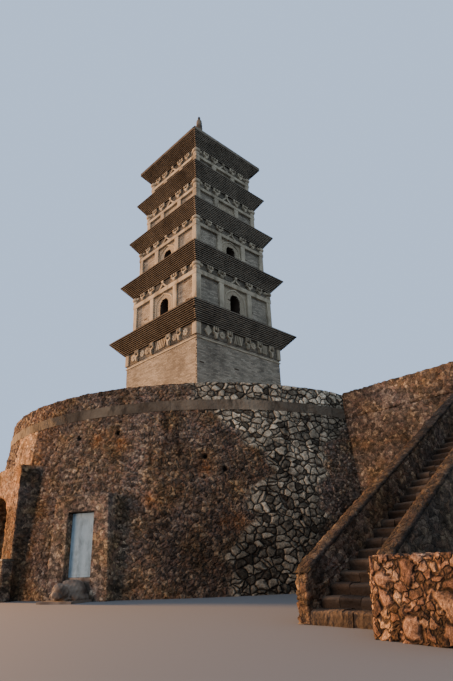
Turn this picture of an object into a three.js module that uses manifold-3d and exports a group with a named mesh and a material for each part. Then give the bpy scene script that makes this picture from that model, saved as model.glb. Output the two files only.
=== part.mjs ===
// Five-storey square brick pagoda on a round rubble terrace, reached by a straight stair.
// Millimetres, +Z up. The origin is on the ground, on the pagoda's own axis.
import * as THREE from 'three';
import { mergeVertices } from 'three/addons/utils/BufferGeometryUtils.js';
import Module from 'manifold-3d';

const wasm = await Module();
wasm.setup();

// Driving dimensions
const joint = 0.3;                 // gap left between fitted pieces
const lap = 1;                     // how far solids reach into each other before they are joined
const facets = 48;                 // flats round the terrace

// Round terrace
const terraceFootRadius = 8972;
const terraceHeadRadius = 8430;
const terraceInnerRadius = 7350;   // back of the retaining wall
const terraceMiddle = 8000;        // a radius well inside the retaining wall
const deckTop = 5343;
const deckThickness = 90;
const bandTop = 5670;
const bandRadius = 8447;
const parapetTop = 6277;
const parapetFootRadius = 8414;
const parapetHeadRadius = 8365;
const parapetInnerRadius = 7900;

// Pagoda storeys: half widths of the walls, the eave and the hollow shaft, then the levels of the lintel
// or string course, the foot of the bracket band, the foot of the corbelled eave and its top edge
const storeys = [
  {
    wall: 2709, eave: 3402, shaft: 1450,
    lintel: 9889, lintelTop: 9959, bracket: 10057, corbel: 10640, eaveTop: 11357,
  },
  {
    wall: 2458, eave: 3095, shaft: 1350,
    lintel: 13271, lintelTop: 13510, bracket: 13510, corbel: 13907, eaveTop: 14624,
  },
  {
    wall: 2294, eave: 2833, shaft: 1250,
    lintel: 16147, lintelTop: 16333, bracket: 16333, corbel: 16683, eaveTop: 17401,
  },
  {
    wall: 2052, eave: 2592, shaft: 1150,
    lintel: 18632, lintelTop: 18807, bracket: 18807, corbel: 19250, eaveTop: 19989,
  },
  {
    wall: 1909, eave: 2491, shaft: 1050,
    lintel: 20918, lintelTop: 21093, bracket: 21093, corbel: 21502, eaveTop: 22211,
  },
];
const postOffsets = [980, 945, 840, 735, 700];   // middle of the two inner posts on each face
const postWidth = 300;
const postProud = 100;
const lintelProud = 115;
const stringProud = 45;
const eaveCourses = 11;
const roofSteps = 7;
const roofStepHeight = 70;
const wallBite = 50;               // what stands on a wall starts this deep in it, and is then trimmed

// Arched openings of the second and third storeys, one on each face
const arches = [
  { storey: 1, width: 655, sill: 12017, crown: 12950 },
  { storey: 2, width: 607, sill: 15160, crown: 15843 },
];
const archFlats = 10;
const archClearance = 100;         // how far the cutter passes both faces of the wall

// Bracket sets of the frieze
const plateProud = 30;
const bracketProud = 150;
const cornerProud = 200;
const blockWidth = 170;
const blockShare = 0.45;           // height of the block as a share of the band
const armWidth = 470;
const cornerWidth = 330;
const braceReach = 330;            // half width of the inverted V in the middle bay
const braceThickness = 90;
const braceFoot = 126;             // width of each foot of the inverted V
const braceProud = 80;
const firstCorbel = 76;            // how far the lowest course of an eave starts out from the wall

// Top roof, and the finial as [radius, height above the roof]
const topRoofHeight = 2172;
const topRoofSteps = 16;
const finialSeat = 300;
const finialSides = 16;
const finialProfile = [
  [330, 0], [330, 180], [260, 230], [300, 420], [250, 700], [210, 1000], [190, 1500], [165, 1900],
  [90, 2010], [85, 2151], [55, 2251], [0, 2281],
];

// Stair along +X, its landing and the pier at its foot
const stairFoot = -9680;
const bottomStepHeight = 192;
const tread = 270;
const stepCount = 33;
const flightCount = 3;
const stairInner = -13270;         // face of the terrace-side parapet
const stairOuter = -14280;         // face of the outer parapet
const stairParapet = 220;
const parapetRise = 533;           // coping above the line of the treads
const copingThickness = 70;
const copingOverhang = 25;
const landingLength = 1800;
const landingBack = -7500;         // inside the terrace, before the landing is trimmed to it
const pierTop = 840;
const pierRight = -7800;
const pierFront = -16100;
const pierCutCorner = [[-10476, -14782], [-10640, -15715], [-10700, pierFront]];

// Niche with a tablet on a tortoise base
const nicheAzimuth = -154;
const nicheFace = 9250;
const nicheHalf = 930;
const nicheTop = 2820;
const nicheOpening = 445;
const nicheHead = 2350;
const tabletHalf = 430;
const tabletBack = 8935;
const tabletFront = 9050;
const tabletFoot = 600;
const tabletTop = 2320;
const slabThickness = 60;
const slabHalf = 540;
const slabReach = 900;             // how far the slab runs out from the niche
const shellRadii = [460, 480, 410];
const shellRise = 240;
const shellReach = 270;            // middle of the shell, out from the face of the niche
const headRadii = [140, 180, 140];
const headRise = 260;
const headReach = 690;
const seatMargin = 60;             // the seat is this much narrower and deeper than the tablet

// Arched recess on the -X side, with its tablet and the low wall before it
const recessFace = 9150;
const recessSurroundHalf = 1500;
const recessSurroundTop = 4000;
const recessHalf = 760;
const recessSill = 1170;
const recessCrown = 3110;
const recessDepthRadius = 8250;
const recessTabletHalf = 500;
const recessTabletTop = 2700;
const recessTabletBack = 8300;
const recessTabletFront = 8420;
const lowWallFace = 9450;
const lowWallHalf = 1650;
const lowWallCoping = 80;
const lowWallOverhang = 40;

const beyond = 500;                // how far a cutting solid runs past what it cuts
const farOut = 20000;              // a cutting solid that takes everything on one side

const brick = new THREE.MeshStandardMaterial({ color: 0x8f7a66, roughness: 0.92, metalness: 0 });
const corbelBrick = new THREE.MeshStandardMaterial({ color: 0x5a4a40, roughness: 0.95, metalness: 0 });
const carvedBrick = new THREE.MeshStandardMaterial({ color: 0xb59a80, roughness: 0.9, metalness: 0 });
const rubble = new THREE.MeshStandardMaterial({ color: 0x6e4a3a, roughness: 0.95, metalness: 0 });
const concrete = new THREE.MeshStandardMaterial({ color: 0x8c857c, roughness: 0.9, metalness: 0 });
const paving = new THREE.MeshStandardMaterial({ color: 0x87827a, roughness: 0.9, metalness: 0 });
const tabletStone = new THREE.MeshStandardMaterial({ color: 0xb9c2c6, roughness: 0.6, metalness: 0 });
const darkStone = new THREE.MeshStandardMaterial({ color: 0x5c5148, roughness: 0.85, metalness: 0 });

const pagoda = new THREE.Group();

function addPiece(name, geometry, material) {
  const mesh = new THREE.Mesh(geometry, material);
  mesh.name = name;
  pagoda.add(mesh);
}

// A closed mesh as a solid for joining and cutting
function toSolid(geometry) {
  const bare = geometry.clone();
  bare.deleteAttribute('normal');
  bare.deleteAttribute('uv');
  const merged = mergeVertices(bare, 0.01);
  const vertProperties = Float32Array.from(merged.attributes.position.array);
  const triVerts = [];
  const index = merged.index.array;
  for (let i = 0; i < index.length; i += 3) {
    const [a, b, c] = [index[i], index[i + 1], index[i + 2]];
    if (a !== b && b !== c && c !== a) triVerts.push(a, b, c);
  }
  const mesh = new wasm.Mesh({ numProp: 3, vertProperties, triVerts: Uint32Array.from(triVerts) });
  return new wasm.Manifold(mesh);
}

function toGeometry(solid) {
  const mesh = solid.getMesh();
  const geometry = new THREE.BufferGeometry();
  geometry.setAttribute('position', new THREE.BufferAttribute(mesh.vertProperties, 3));
  geometry.setIndex(new THREE.BufferAttribute(mesh.triVerts, 1));
  geometry.computeVertexNormals();
  return geometry;
}

function boxSolid(x0, x1, y0, y1, z0, z1) {
  const geometry = new THREE.BoxGeometry(x1 - x0, y1 - y0, z1 - z0);
  geometry.translate((x0 + x1) / 2, (y0 + y1) / 2, (z0 + z1) / 2);
  return toSolid(geometry);
}

// A profile of [half width or radius, height] turned round the Z axis
function turned(profile, sides, start, stretch) {
  const points = profile.map(([r, z]) => new THREE.Vector2(r * stretch, z));
  const geometry = new THREE.LatheGeometry(points, sides, start);
  geometry.rotateX(Math.PI / 2);
  return toSolid(geometry);
}

const round = (profile, sides = facets) => turned(profile, sides, 0, 1);
const square = (profile) => turned(profile, 4, Math.PI / 4, Math.SQRT2);

// An outline in the X-Z plane, carried along Y from y0 to y1
function sideOutline(points, y0, y1) {
  const shape = new THREE.Shape(points.map(([x, z]) => new THREE.Vector2(x, z)));
  const geometry = new THREE.ExtrudeGeometry(shape, { depth: y1 - y0, bevelEnabled: false });
  geometry.rotateX(Math.PI / 2);
  geometry.translate(0, y1, 0);
  return toSolid(geometry);
}

// An outline in plan, raised from z0 to z1
function planOutline(points, z0, z1) {
  const shape = new THREE.Shape(points.map(([x, y]) => new THREE.Vector2(x, y)));
  const geometry = new THREE.ExtrudeGeometry(shape, { depth: z1 - z0, bevelEnabled: false });
  geometry.translate(0, 0, z0);
  return toSolid(geometry);
}

// The same solid on all four faces of the tower
function onFourFaces(solid) {
  let all = solid;
  for (const turn of [90, 180, 270]) {
    all = all.add(solid.rotate([0, 0, turn]));
  }
  return all;
}

const closed = (profile) => [...profile, profile[0]];

function ring(inner, outer, z0, z1) {
  return closed([[inner, z0], [outer, z0], [outer, z1], [inner, z1]]);
}

// Half-round head on straight jambs, through a wall that faces -Y
function archedPrism(width, sill, crown, y0, y1) {
  const radius = width / 2;
  const spring = crown - radius;
  const points = [[-radius, sill], [radius, sill]];
  for (let i = 0; i <= archFlats; i += 1) {
    const angle = Math.PI * i / archFlats;
    points.push([radius * Math.cos(angle), spring + radius * Math.sin(angle)]);
  }
  return sideOutline(points, y0, y1);
}

// The terrace's own outline with its fitting gap, cut out of what is built against it
const batter = (terraceFootRadius - terraceHeadRadius) / deckTop;
const terraceRadius = (z) => terraceFootRadius - batter * z;
const drum = round([
  [0, -beyond],
  [terraceRadius(-beyond) + joint, -beyond],
  [terraceRadius(deckTop + beyond) + joint, deckTop + beyond],
  [0, deckTop + beyond],
]);
const bandSpace = round([
  [0, deckTop - lap],
  [bandRadius + joint, deckTop - lap],
  [bandRadius + joint, parapetTop + lap],
  [0, parapetTop + lap],
]);

// Terrace: retaining wall, ring beam and parapet in quarters, then the fill and the deck
const stairHead = stairFoot + stepCount * tread;
const landingEnd = stairHead + landingLength;
const gateStart = stairHead + stairParapet;
const gateEnd = landingEnd - stairParapet;
const gateOuter = -bandRadius - beyond;
const gate = boxSolid(gateStart, gateEnd, gateOuter, -terraceInnerRadius, deckTop - lap, parapetTop + lap);
const recess = archedPrism(2 * recessHalf, recessSill, recessCrown, -recessFace - beyond, -recessDepthRadius)
  .rotate([0, 0, -90]);

const quarters = [
  ['north_east', 1, 1],
  ['north_west', -1, 1],
  ['south_west', -1, -1],
  ['south_east', 1, -1],
];

function quarter(solid, sx, sy) {
  const x = [sx * joint / 2, sx * farOut].sort((a, b) => a - b);
  const y = [sy * joint / 2, sy * farOut].sort((a, b) => a - b);
  return solid.intersect(boxSolid(x[0], x[1], y[0], y[1], -beyond, parapetTop + beyond));
}

// The part of the wall that holds the arched recess is a piece of its own, as wide as the recess
const recessBay = (gap) => boxSolid(-farOut, 0, gap - recessHalf, recessHalf - gap, -beyond, parapetTop);

const retainingWall = round(closed([
  [terraceInnerRadius, 0],
  [terraceFootRadius, 0],
  [terraceHeadRadius, deckTop],
  [terraceInnerRadius, deckTop],
]));
const plainWall = retainingWall.subtract(recessBay(-joint / 2));
const ringBeam = round(ring(parapetInnerRadius, bandRadius, deckTop, bandTop)).subtract(gate);
const parapet = round(closed([
  [parapetInnerRadius, bandTop],
  [parapetFootRadius, bandTop],
  [parapetHeadRadius, parapetTop],
  [parapetInnerRadius, parapetTop],
])).subtract(gate);

for (const [name, sx, sy] of quarters) {
  addPiece(`terrace_wall_${name}`, toGeometry(quarter(plainWall, sx, sy)), rubble);
  addPiece(`terrace_ring_beam_${name}`, toGeometry(quarter(ringBeam, sx, sy)), concrete);
  addPiece(`terrace_parapet_${name}`, toGeometry(quarter(parapet, sx, sy)), rubble);
}

const recessWall = retainingWall.intersect(recessBay(joint / 2)).subtract(recess);
addPiece('terrace_wall_recess', toGeometry(recessWall), rubble);

const fillRadius = terraceInnerRadius - joint;
const disc = (z0, z1) => round([[0, z0], [fillRadius, z0], [fillRadius, z1], [0, z1]]);
addPiece('terrace_fill', toGeometry(disc(0, deckTop - deckThickness)), darkStone);
addPiece('terrace_deck', toGeometry(disc(deckTop - deckThickness, deckTop)), paving);

// Storeys
const roofRise = roofSteps * roofStepHeight;
const floorOf = (i) => (i === 0 ? deckTop : storeys[i - 1].eaveTop);
const wallFootOf = (i) => (i === 0 ? deckTop : storeys[i - 1].eaveTop + roofRise);
const roofTop = storeys[storeys.length - 1].eaveTop + topRoofHeight;

function wallTube(i) {
  const s = storeys[i];
  let tube = square(ring(s.shaft, s.wall, floorOf(i), s.eaveTop));
  for (const arch of arches.filter((a) => a.storey === i)) {
    const outside = -s.wall - archClearance;
    const inside = -s.shaft + archClearance;
    tube = tube.subtract(onFourFaces(archedPrism(arch.width, arch.sill, arch.crown, outside, inside)));
  }
  return tube;
}

// The wall's own outline with its fitting gap, cut out of everything that is built round it
function wallCore(i) {
  const half = storeys[i].wall + joint;
  return boxSolid(-half, half, -half, half, 0, roofTop);
}

function postsAndLintel(i) {
  const s = storeys[i];
  const front = -s.wall - postProud;
  const back = front + postWidth;
  const foot = wallFootOf(i);
  const head = s.lintel + lap;
  let posts = boxSolid(front, back, front, back, foot, head);
  for (const x of [-postOffsets[i], postOffsets[i]]) {
    posts = posts.add(boxSolid(x - postWidth / 2, x + postWidth / 2, front, back, foot, head));
  }
  const lintel = square(ring(s.wall - wallBite, s.wall + lintelProud, s.lintel, s.lintelTop));
  return lintel.add(onFourFaces(posts)).subtract(wallCore(i));
}

// One bracket set: a block on the plate and a wider arm over it, on the face that looks to -Y
function bracketSet(x, wall, z0, z1) {
  const middle = z0 + (z1 - z0) * blockShare;
  const front = -wall - bracketProud;
  const back = -wall + wallBite;
  const block = boxSolid(x - blockWidth / 2, x + blockWidth / 2, front, back, z0, middle + lap);
  const arm = boxSolid(x - armWidth / 2, x + armWidth / 2, front, back, middle, z1);
  return block.add(arm);
}

// The inverted V that fills the middle bay between two bracket sets
function brace(wall, z0, z1) {
  const inner = braceReach - braceFoot;
  const points = [
    [-braceReach, z0],
    [-inner, z0],
    [0, z1 - braceThickness],
    [inner, z0],
    [braceReach, z0],
    [braceThickness / 2, z1],
    [-braceThickness / 2, z1],
  ];
  return sideOutline(points, -wall - braceProud, -wall + wallBite);
}

function bracketBand(i) {
  const s = storeys[i];
  const plate = square(ring(s.wall - wallBite, s.wall + plateProud, s.bracket, s.corbel));
  const corner = -s.wall - cornerProud;
  let face = boxSolid(corner, corner + cornerWidth, corner, corner + cornerWidth, s.bracket, s.corbel);
  const bay = (postOffsets[i] + s.wall) / 2;
  for (const x of [-bay, -postOffsets[i], postOffsets[i], bay]) {
    face = face.add(bracketSet(x, s.wall, s.bracket, s.corbel));
  }
  face = face.add(brace(s.wall, s.bracket, s.corbel));
  return plate.add(onFourFaces(face)).subtract(wallCore(i));
}

// Corbelled eave, where every course steps out from the one below, with the stepped roof over it
function eaveProfile(i) {
  const s = storeys[i];
  const inner = s.wall + joint;
  const first = s.wall + firstCorbel;
  const points = [[inner, s.corbel]];
  for (let n = 0; n < eaveCourses; n += 1) {
    const half = first + (s.eave - first) * (n + 1) / eaveCourses;
    points.push([half, s.corbel + (s.eaveTop - s.corbel) * n / eaveCourses]);
    points.push([half, s.corbel + (s.eaveTop - s.corbel) * (n + 1) / eaveCourses]);
  }
  if (i === storeys.length - 1) {
    points.push([inner, s.eaveTop]);
    return closed(points);
  }
  const nextWall = storeys[i + 1].wall + joint;
  const run = (s.eave - nextWall) / (roofSteps + 1);
  for (let n = 1; n <= roofSteps; n += 1) {
    points.push([s.eave - n * run, s.eaveTop + (n - 1) * roofStepHeight]);
    points.push([s.eave - n * run, s.eaveTop + n * roofStepHeight]);
  }
  points.push([nextWall, s.eaveTop + roofRise]);
  points.push([nextWall, s.eaveTop + joint]);
  points.push([inner, s.eaveTop + joint]);
  return closed(points);
}

storeys.forEach((s, i) => {
  const name = `storey_${i + 1}`;
  addPiece(`${name}_walls`, toGeometry(wallTube(i)), brick);
  if (i === 0) {
    const course = square(ring(s.wall + joint, s.wall + stringProud, s.lintel, s.lintelTop));
    addPiece(`${name}_string_course`, toGeometry(course), carvedBrick);
  } else {
    addPiece(`${name}_posts_and_lintel`, toGeometry(postsAndLintel(i)), carvedBrick);
  }
  addPiece(`${name}_bracket_band`, toGeometry(bracketBand(i)), carvedBrick);
  addPiece(`${name}_eave`, toGeometry(square(eaveProfile(i))), corbelBrick);
});

// Stepped top roof and finial
const last = storeys[storeys.length - 1];
const topRoofHalf = (n) => last.eave - (last.eave - finialSeat) * n / topRoofSteps;
const topRoof = [[0, last.eaveTop], [last.eave, last.eaveTop]];
for (let n = 1; n <= topRoofSteps; n += 1) {
  const level = last.eaveTop + topRoofHeight * n / topRoofSteps;
  topRoof.push([topRoofHalf(n - 1), level]);
  topRoof.push([n === topRoofSteps ? 0 : topRoofHalf(n), level]);
}
addPiece('top_roof', toGeometry(square(topRoof)), corbelBrick);
const finial = [[0, roofTop], ...finialProfile.map(([r, rise]) => [r, roofTop + rise])];
addPiece('finial', toGeometry(round(finial, finialSides)), corbelBrick);

// Stair
const rise = (deckTop - bottomStepHeight) / stepCount;
const stairWidth = [stairOuter + joint, stairInner - joint];
const bottomStep = boxSolid(stairFoot, stairFoot + tread, ...stairWidth, 0, bottomStepHeight);
addPiece('stair_bottom_step', toGeometry(bottomStep), rubble);

const stepX = (n) => stairFoot + (n + 1) * tread;      // front edge of step n above the bottom one
const stepZ = (n) => bottomStepHeight + n * rise;
const perFlight = stepCount / flightCount;
['lower', 'middle', 'upper'].forEach((name, f) => {
  const first = f * perFlight;
  const end = f === flightCount - 1 ? stairHead : stepX(first + perFlight);
  let flight = boxSolid(stepX(first) + joint, end, ...stairWidth, 0, stepZ(first + 1));
  for (let n = first + 1; n < first + perFlight; n += 1) {
    flight = flight.add(boxSolid(stepX(n), end, ...stairWidth, stepZ(n) - rise / 2, stepZ(n + 1)));
  }
  addPiece(`stair_flight_${name}`, toGeometry(flight), rubble);
});

// Parapets beside the stair, each sloping with it from the ground up under a thin coping of mortar
const slope = rise / tread;
const parapetEnd = stairHead - joint;
const copingFoot = bottomStepHeight + parapetRise;
const copingHead = copingFoot + (parapetEnd - stairFoot) * slope;
const alongCoping = (drop) => [[stairFoot, copingFoot - drop], [parapetEnd, copingHead - drop]];
const parapetSide = [...alongCoping(copingThickness), [parapetEnd, 0], [stairFoot, 0]];
const copingSide = [...alongCoping(0), ...alongCoping(copingThickness - joint).reverse()];
const stairSides = [
  ['terrace_side', stairInner, stairInner + stairParapet],
  ['outer_side', stairOuter - stairParapet, stairOuter],
];
for (const [name, y0, y1] of stairSides) {
  addPiece(`stair_parapet_${name}`, toGeometry(sideOutline(parapetSide, y0, y1)), rubble);
  const coping = sideOutline(copingSide, y0 - copingOverhang, y1 + copingOverhang);
  addPiece(`stair_coping_${name}`, toGeometry(coping), concrete);
}

// Landing between the stair head and the terrace, with parapets on its open sides
const landingOuter = stairOuter - stairParapet;
const landing = boxSolid(stairHead, landingEnd, landingOuter, landingBack, 0, deckTop).subtract(drum);
addPiece('landing_block', toGeometry(landing), rubble);
const landingParapet = (x0, x1, y0, y1) => (
  toGeometry(boxSolid(x0, x1, y0, y1, deckTop, parapetTop).subtract(bandSpace))
);
addPiece('landing_parapet_west', landingParapet(stairHead, gateStart, stairInner, landingBack), rubble);
addPiece('landing_parapet_east', landingParapet(gateEnd, landingEnd, landingOuter, landingBack), rubble);
const southEnd = gateEnd - joint;
addPiece('landing_parapet_south', landingParapet(stairHead, southEnd, landingOuter, stairOuter), rubble);

// Rubble pier at the foot of the outer parapet, with one corner cut off
const pierBack = landingOuter - copingOverhang - joint;
const pier = planOutline([
  ...pierCutCorner,
  [pierRight, pierFront],
  [pierRight, pierBack],
  [stairFoot - joint, pierBack],
  [stairFoot - joint, stairOuter - joint],
], 0, pierTop);
addPiece('stair_pier', toGeometry(pier), rubble);

// Niche: a rubble surround on the terrace wall, a tortoise base and an upright tablet
function atNiche(solid) {
  return solid.rotate([0, 0, nicheAzimuth + 90]);
}
const nicheHole = boxSolid(-nicheOpening, nicheOpening, -nicheFace - beyond, 0, -beyond, nicheHead);
const surround = boxSolid(-nicheHalf, nicheHalf, -nicheFace, -terraceMiddle, 0, nicheTop)
  .subtract(nicheHole);
addPiece('niche_surround', toGeometry(atNiche(surround).subtract(drum)), rubble);
const slabInside = nicheOpening - joint;
const slab = boxSolid(-slabHalf, slabHalf, -nicheFace - slabReach, -nicheFace - joint, 0, slabThickness)
  .add(boxSolid(-slabInside, slabInside, -nicheFace - beyond, -terraceMiddle, 0, slabThickness));
addPiece('niche_slab', toGeometry(atNiche(slab).subtract(drum)), darkStone);

function ellipsoid([rx, ry, rz], y, z) {
  const geometry = new THREE.SphereGeometry(1, 14, 8);
  geometry.rotateX(Math.PI / 2);
  geometry.scale(rx, ry, rz);
  geometry.translate(0, y, z);
  return toSolid(geometry);
}
const shell = ellipsoid(shellRadii, -nicheFace - shellReach, shellRise);
const head = ellipsoid(headRadii, -nicheFace - headReach, headRise);
const seatHalf = tabletHalf - seatMargin;
const seatFront = -tabletFront - seatMargin;
const seat = boxSolid(-seatHalf, seatHalf, seatFront, -tabletBack, slabThickness, tabletFoot);
const room = boxSolid(-farOut, farOut, -farOut, -tabletBack, slabThickness, tabletFoot);
const tortoise = shell.add(head).add(seat).intersect(room);
addPiece('tortoise_base', toGeometry(atNiche(tortoise).subtract(drum)), darkStone);
const tablet = boxSolid(-tabletHalf, tabletHalf, -tabletFront, -tabletBack, tabletFoot, tabletTop);
addPiece('niche_tablet', toGeometry(atNiche(tablet)), tabletStone);

// Arched recess on the -X side: two jambs, head, tablet in the recess and a low wall before it
const recessPart = (y0, y1, z0, z1) => boxSolid(-recessFace, -terraceMiddle, y0, y1, z0, z1).subtract(drum);
const northJamb = recessPart(recessHalf, recessSurroundHalf, 0, recessSurroundTop);
const southJamb = recessPart(-recessSurroundHalf, -recessHalf, 0, recessSurroundTop);
const headHalf = recessHalf - joint;
const recessHead = recessPart(-headHalf, headHalf, recessSill + lap, recessSurroundTop).subtract(recess);
addPiece('recess_jamb_north', toGeometry(northJamb), rubble);
addPiece('recess_jamb_south', toGeometry(southJamb), rubble);
addPiece('recess_head', toGeometry(recessHead), rubble);
const recessTablet = boxSolid(
  -recessTabletFront, -recessTabletBack, -recessTabletHalf, recessTabletHalf, recessSill, recessTabletTop,
);
addPiece('recess_tablet', toGeometry(recessTablet), tabletStone);
const lowWallBack = -recessFace - joint;
const copingUnderside = recessSill - lowWallCoping;
const copingHalf = lowWallHalf + lowWallOverhang;
const copingFront = -lowWallFace - lowWallOverhang;
const lowWall = boxSolid(-lowWallFace, lowWallBack, -lowWallHalf, lowWallHalf, 0, copingUnderside)
  .add(boxSolid(copingFront, lowWallBack, -copingHalf, copingHalf, copingUnderside, recessSill))
  .add(boxSolid(lowWallBack - lap, -terraceMiddle, -headHalf, headHalf, 0, recessSill))
  .subtract(drum);
addPiece('recess_low_wall', toGeometry(lowWall), rubble);

export default pagoda;
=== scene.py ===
import math

import bpy
import numpy as np
from mathutils import Matrix, Vector


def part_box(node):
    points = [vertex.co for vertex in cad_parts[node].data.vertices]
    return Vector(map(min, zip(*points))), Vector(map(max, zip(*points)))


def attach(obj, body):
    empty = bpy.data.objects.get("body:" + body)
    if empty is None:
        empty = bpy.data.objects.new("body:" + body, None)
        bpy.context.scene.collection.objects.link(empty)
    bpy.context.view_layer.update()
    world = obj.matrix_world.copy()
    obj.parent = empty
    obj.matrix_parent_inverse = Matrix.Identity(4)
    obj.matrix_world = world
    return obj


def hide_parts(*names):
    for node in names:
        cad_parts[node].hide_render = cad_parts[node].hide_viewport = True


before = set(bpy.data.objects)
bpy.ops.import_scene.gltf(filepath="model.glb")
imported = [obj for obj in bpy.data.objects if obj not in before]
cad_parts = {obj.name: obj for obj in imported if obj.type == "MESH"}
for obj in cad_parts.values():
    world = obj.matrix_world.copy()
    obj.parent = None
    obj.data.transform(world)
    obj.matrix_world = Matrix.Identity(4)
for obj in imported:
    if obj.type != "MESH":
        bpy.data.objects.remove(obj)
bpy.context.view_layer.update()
print("pagoda: frame loaded,", len(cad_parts), "nodes")

# Camera and light

picture = {"height": 681, "focal": 519.4}  # pixels
cameraPlace = {
    "place": (-16.10, -18.423, 0.817),
    "yaw": -44.03,    # degrees, from +Y towards -X
    "pitch": 23.247,  # degrees up
    "roll": 2.03,     # degrees
}
lights = {
    # azimuth and height of the light in degrees, irradiance, colour, and how wide it looks
    "lowSun": (103.0, 9.0, 11.0, "ffb770", 9.0),
    "westFill": (168.0, 8.0, 2.0, "ffc79a", 25.0),
}
sky = {"colour": "b9d0f0", "shown": 1.22, "shedColour": "c1cfe1", "shed": 0.90}


def fromHex(text):
    # sRGB hex to linear: c / 12.92 for dark values, ((c + 0.055) / 1.055) ^ 2.4 for the rest
    value = np.array([int(text[k:k + 2], 16) for k in (0, 2, 4)]) / 255
    linear = np.where(value <= 0.04045, value / 12.92, ((value + 0.055) / 1.055) ** 2.4)
    return (*linear.tolist(), 1.0)


def addNode(tree, kind, links=None, stops=None, **settings):
    # one node with its settings; links gives each input a value, or the output or node that feeds it
    node = tree.nodes.new(kind)
    for key, value in settings.items():
        setattr(node, key, value)
    for place, (position, colour) in enumerate(stops or []):
        elements = node.color_ramp.elements
        element = elements[place] if place < 2 else elements.new(position)
        element.position = position
        element.color = fromHex(colour)
    for key, value in (links or {}).items():
        if isinstance(value, bpy.types.Node):
            value = value.outputs[0]
        if isinstance(value, bpy.types.NodeSocket):
            tree.links.new(value, node.inputs[key])
        else:
            node.inputs[key].default_value = value
    return node


def addToScene(name, data):
    thing = bpy.data.objects.new(name, data)
    bpy.context.scene.collection.objects.link(thing)
    return thing


def makeCamera(spec):
    # view axes from yaw and pitch, then both picture axes turned by the roll
    yaw, pitch, roll = (math.radians(spec[key]) for key in ("yaw", "pitch", "roll"))
    flat = Vector((-math.sin(yaw), math.cos(yaw), 0))
    ahead = flat * math.cos(pitch) + Vector((0, 0, math.sin(pitch)))
    side = Vector((math.cos(yaw), math.sin(yaw), 0))
    above = side.cross(ahead)
    right = side * math.cos(roll) - above * math.sin(roll)
    up = side * math.sin(roll) + above * math.cos(roll)
    data = bpy.data.cameras.new("camera")
    data.sensor_fit = "VERTICAL"
    data.sensor_height = 36
    data.lens = picture["focal"] * data.sensor_height / picture["height"]
    data.clip_end = 500
    camera = addToScene("camera", data)
    turn = Matrix((right, up, -ahead)).transposed().to_4x4()
    camera.matrix_world = Matrix.Translation(spec["place"]) @ turn
    bpy.context.scene.camera = camera


def makeLights():
    for name, (azimuth, height, strength, colour, width) in lights.items():
        data = bpy.data.lights.new(name, "SUN")
        data.energy = strength
        data.color = fromHex(colour)[:3]
        data.angle = math.radians(width)
        turn, rise = math.radians(azimuth), math.radians(height)
        source = Vector((math.cos(turn) * math.cos(rise), math.sin(turn) * math.cos(rise), math.sin(rise)))
        addToScene(name, data).rotation_euler = source.to_track_quat("Z", "Y").to_euler()
    world = bpy.data.worlds.new("paleSky")
    world.use_nodes = True
    tree = world.node_tree
    tree.nodes.clear()
    # the backdrop shows brighter and bluer than the light that it sheds, so that shaded faces keep depth
    seen = addNode(tree, "ShaderNodeLightPath").outputs["Is Camera Ray"]
    strength = addNode(tree, "ShaderNodeMapRange", {0: seen, 3: sky["shed"], 4: sky["shown"]})
    colours = {0: seen, 6: fromHex(sky["shedColour"]), 7: fromHex(sky["colour"])}
    colour = addNode(tree, "ShaderNodeMix", colours, data_type="RGBA").outputs[2]
    glow = addNode(tree, "ShaderNodeBackground", {"Color": colour, "Strength": strength})
    addNode(tree, "ShaderNodeOutputWorld", {"Surface": glow})
    bpy.context.scene.world = world


makeCamera(cameraPlace)
makeLights()

# Shells: every shape is (points, quads, triangles)

noTriangles = np.zeros((0, 3), int)


def turnOutward(points, quads, triangles):
    # the signed volume is the sum of a . (b x c) / 6 over all triangles; a negative one turns every face
    a, b, c, d = (points[quads[:, k]] for k in range(4))
    volume = np.einsum("ij,ij->", a, np.cross(b, c)) + np.einsum("ij,ij->", a, np.cross(c, d))
    a, b, c = (points[triangles[:, k]] for k in range(3))
    volume += np.einsum("ij,ij->", a, np.cross(b, c))
    if volume > 0:
        return points, quads, triangles
    return points, quads[:, ::-1], triangles[:, ::-1]


def sheetQuads(number):
    # the cells of a sheet of point numbers
    four = np.stack([number[:-1, :-1], number[1:, :-1], number[1:, 1:], number[:-1, 1:]], axis=-1)
    return four.reshape(-1, 4)


def latticeShell(counts, place):
    # skin of a block of nu x nv x nw cells; place(u, v, w) takes three parameters from 0 to 1 to x, y, z
    nu, nv, nw = counts
    i, j, k = np.meshgrid(np.arange(nu + 1), np.arange(nv + 1), np.arange(nw + 1), indexing="ij")
    skin = (i == 0) | (i == nu) | (j == 0) | (j == nv) | (k == 0) | (k == nw)
    number = np.full(skin.shape, -1)
    number[skin] = np.arange(skin.sum())
    points = np.stack(place(i[skin] / nu, j[skin] / nv, k[skin] / nw), axis=1)
    quads = []
    for axis, turn in ((0, 1), (1, -1), (2, 1)):
        low, high = (sheetQuads(np.take(number, side, axis)) for side in (0, -1))
        quads += [low[:, ::-1], high] if turn > 0 else [low, high[:, ::-1]]
    return turnOutward(points, np.concatenate(quads), noTriangles)


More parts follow.
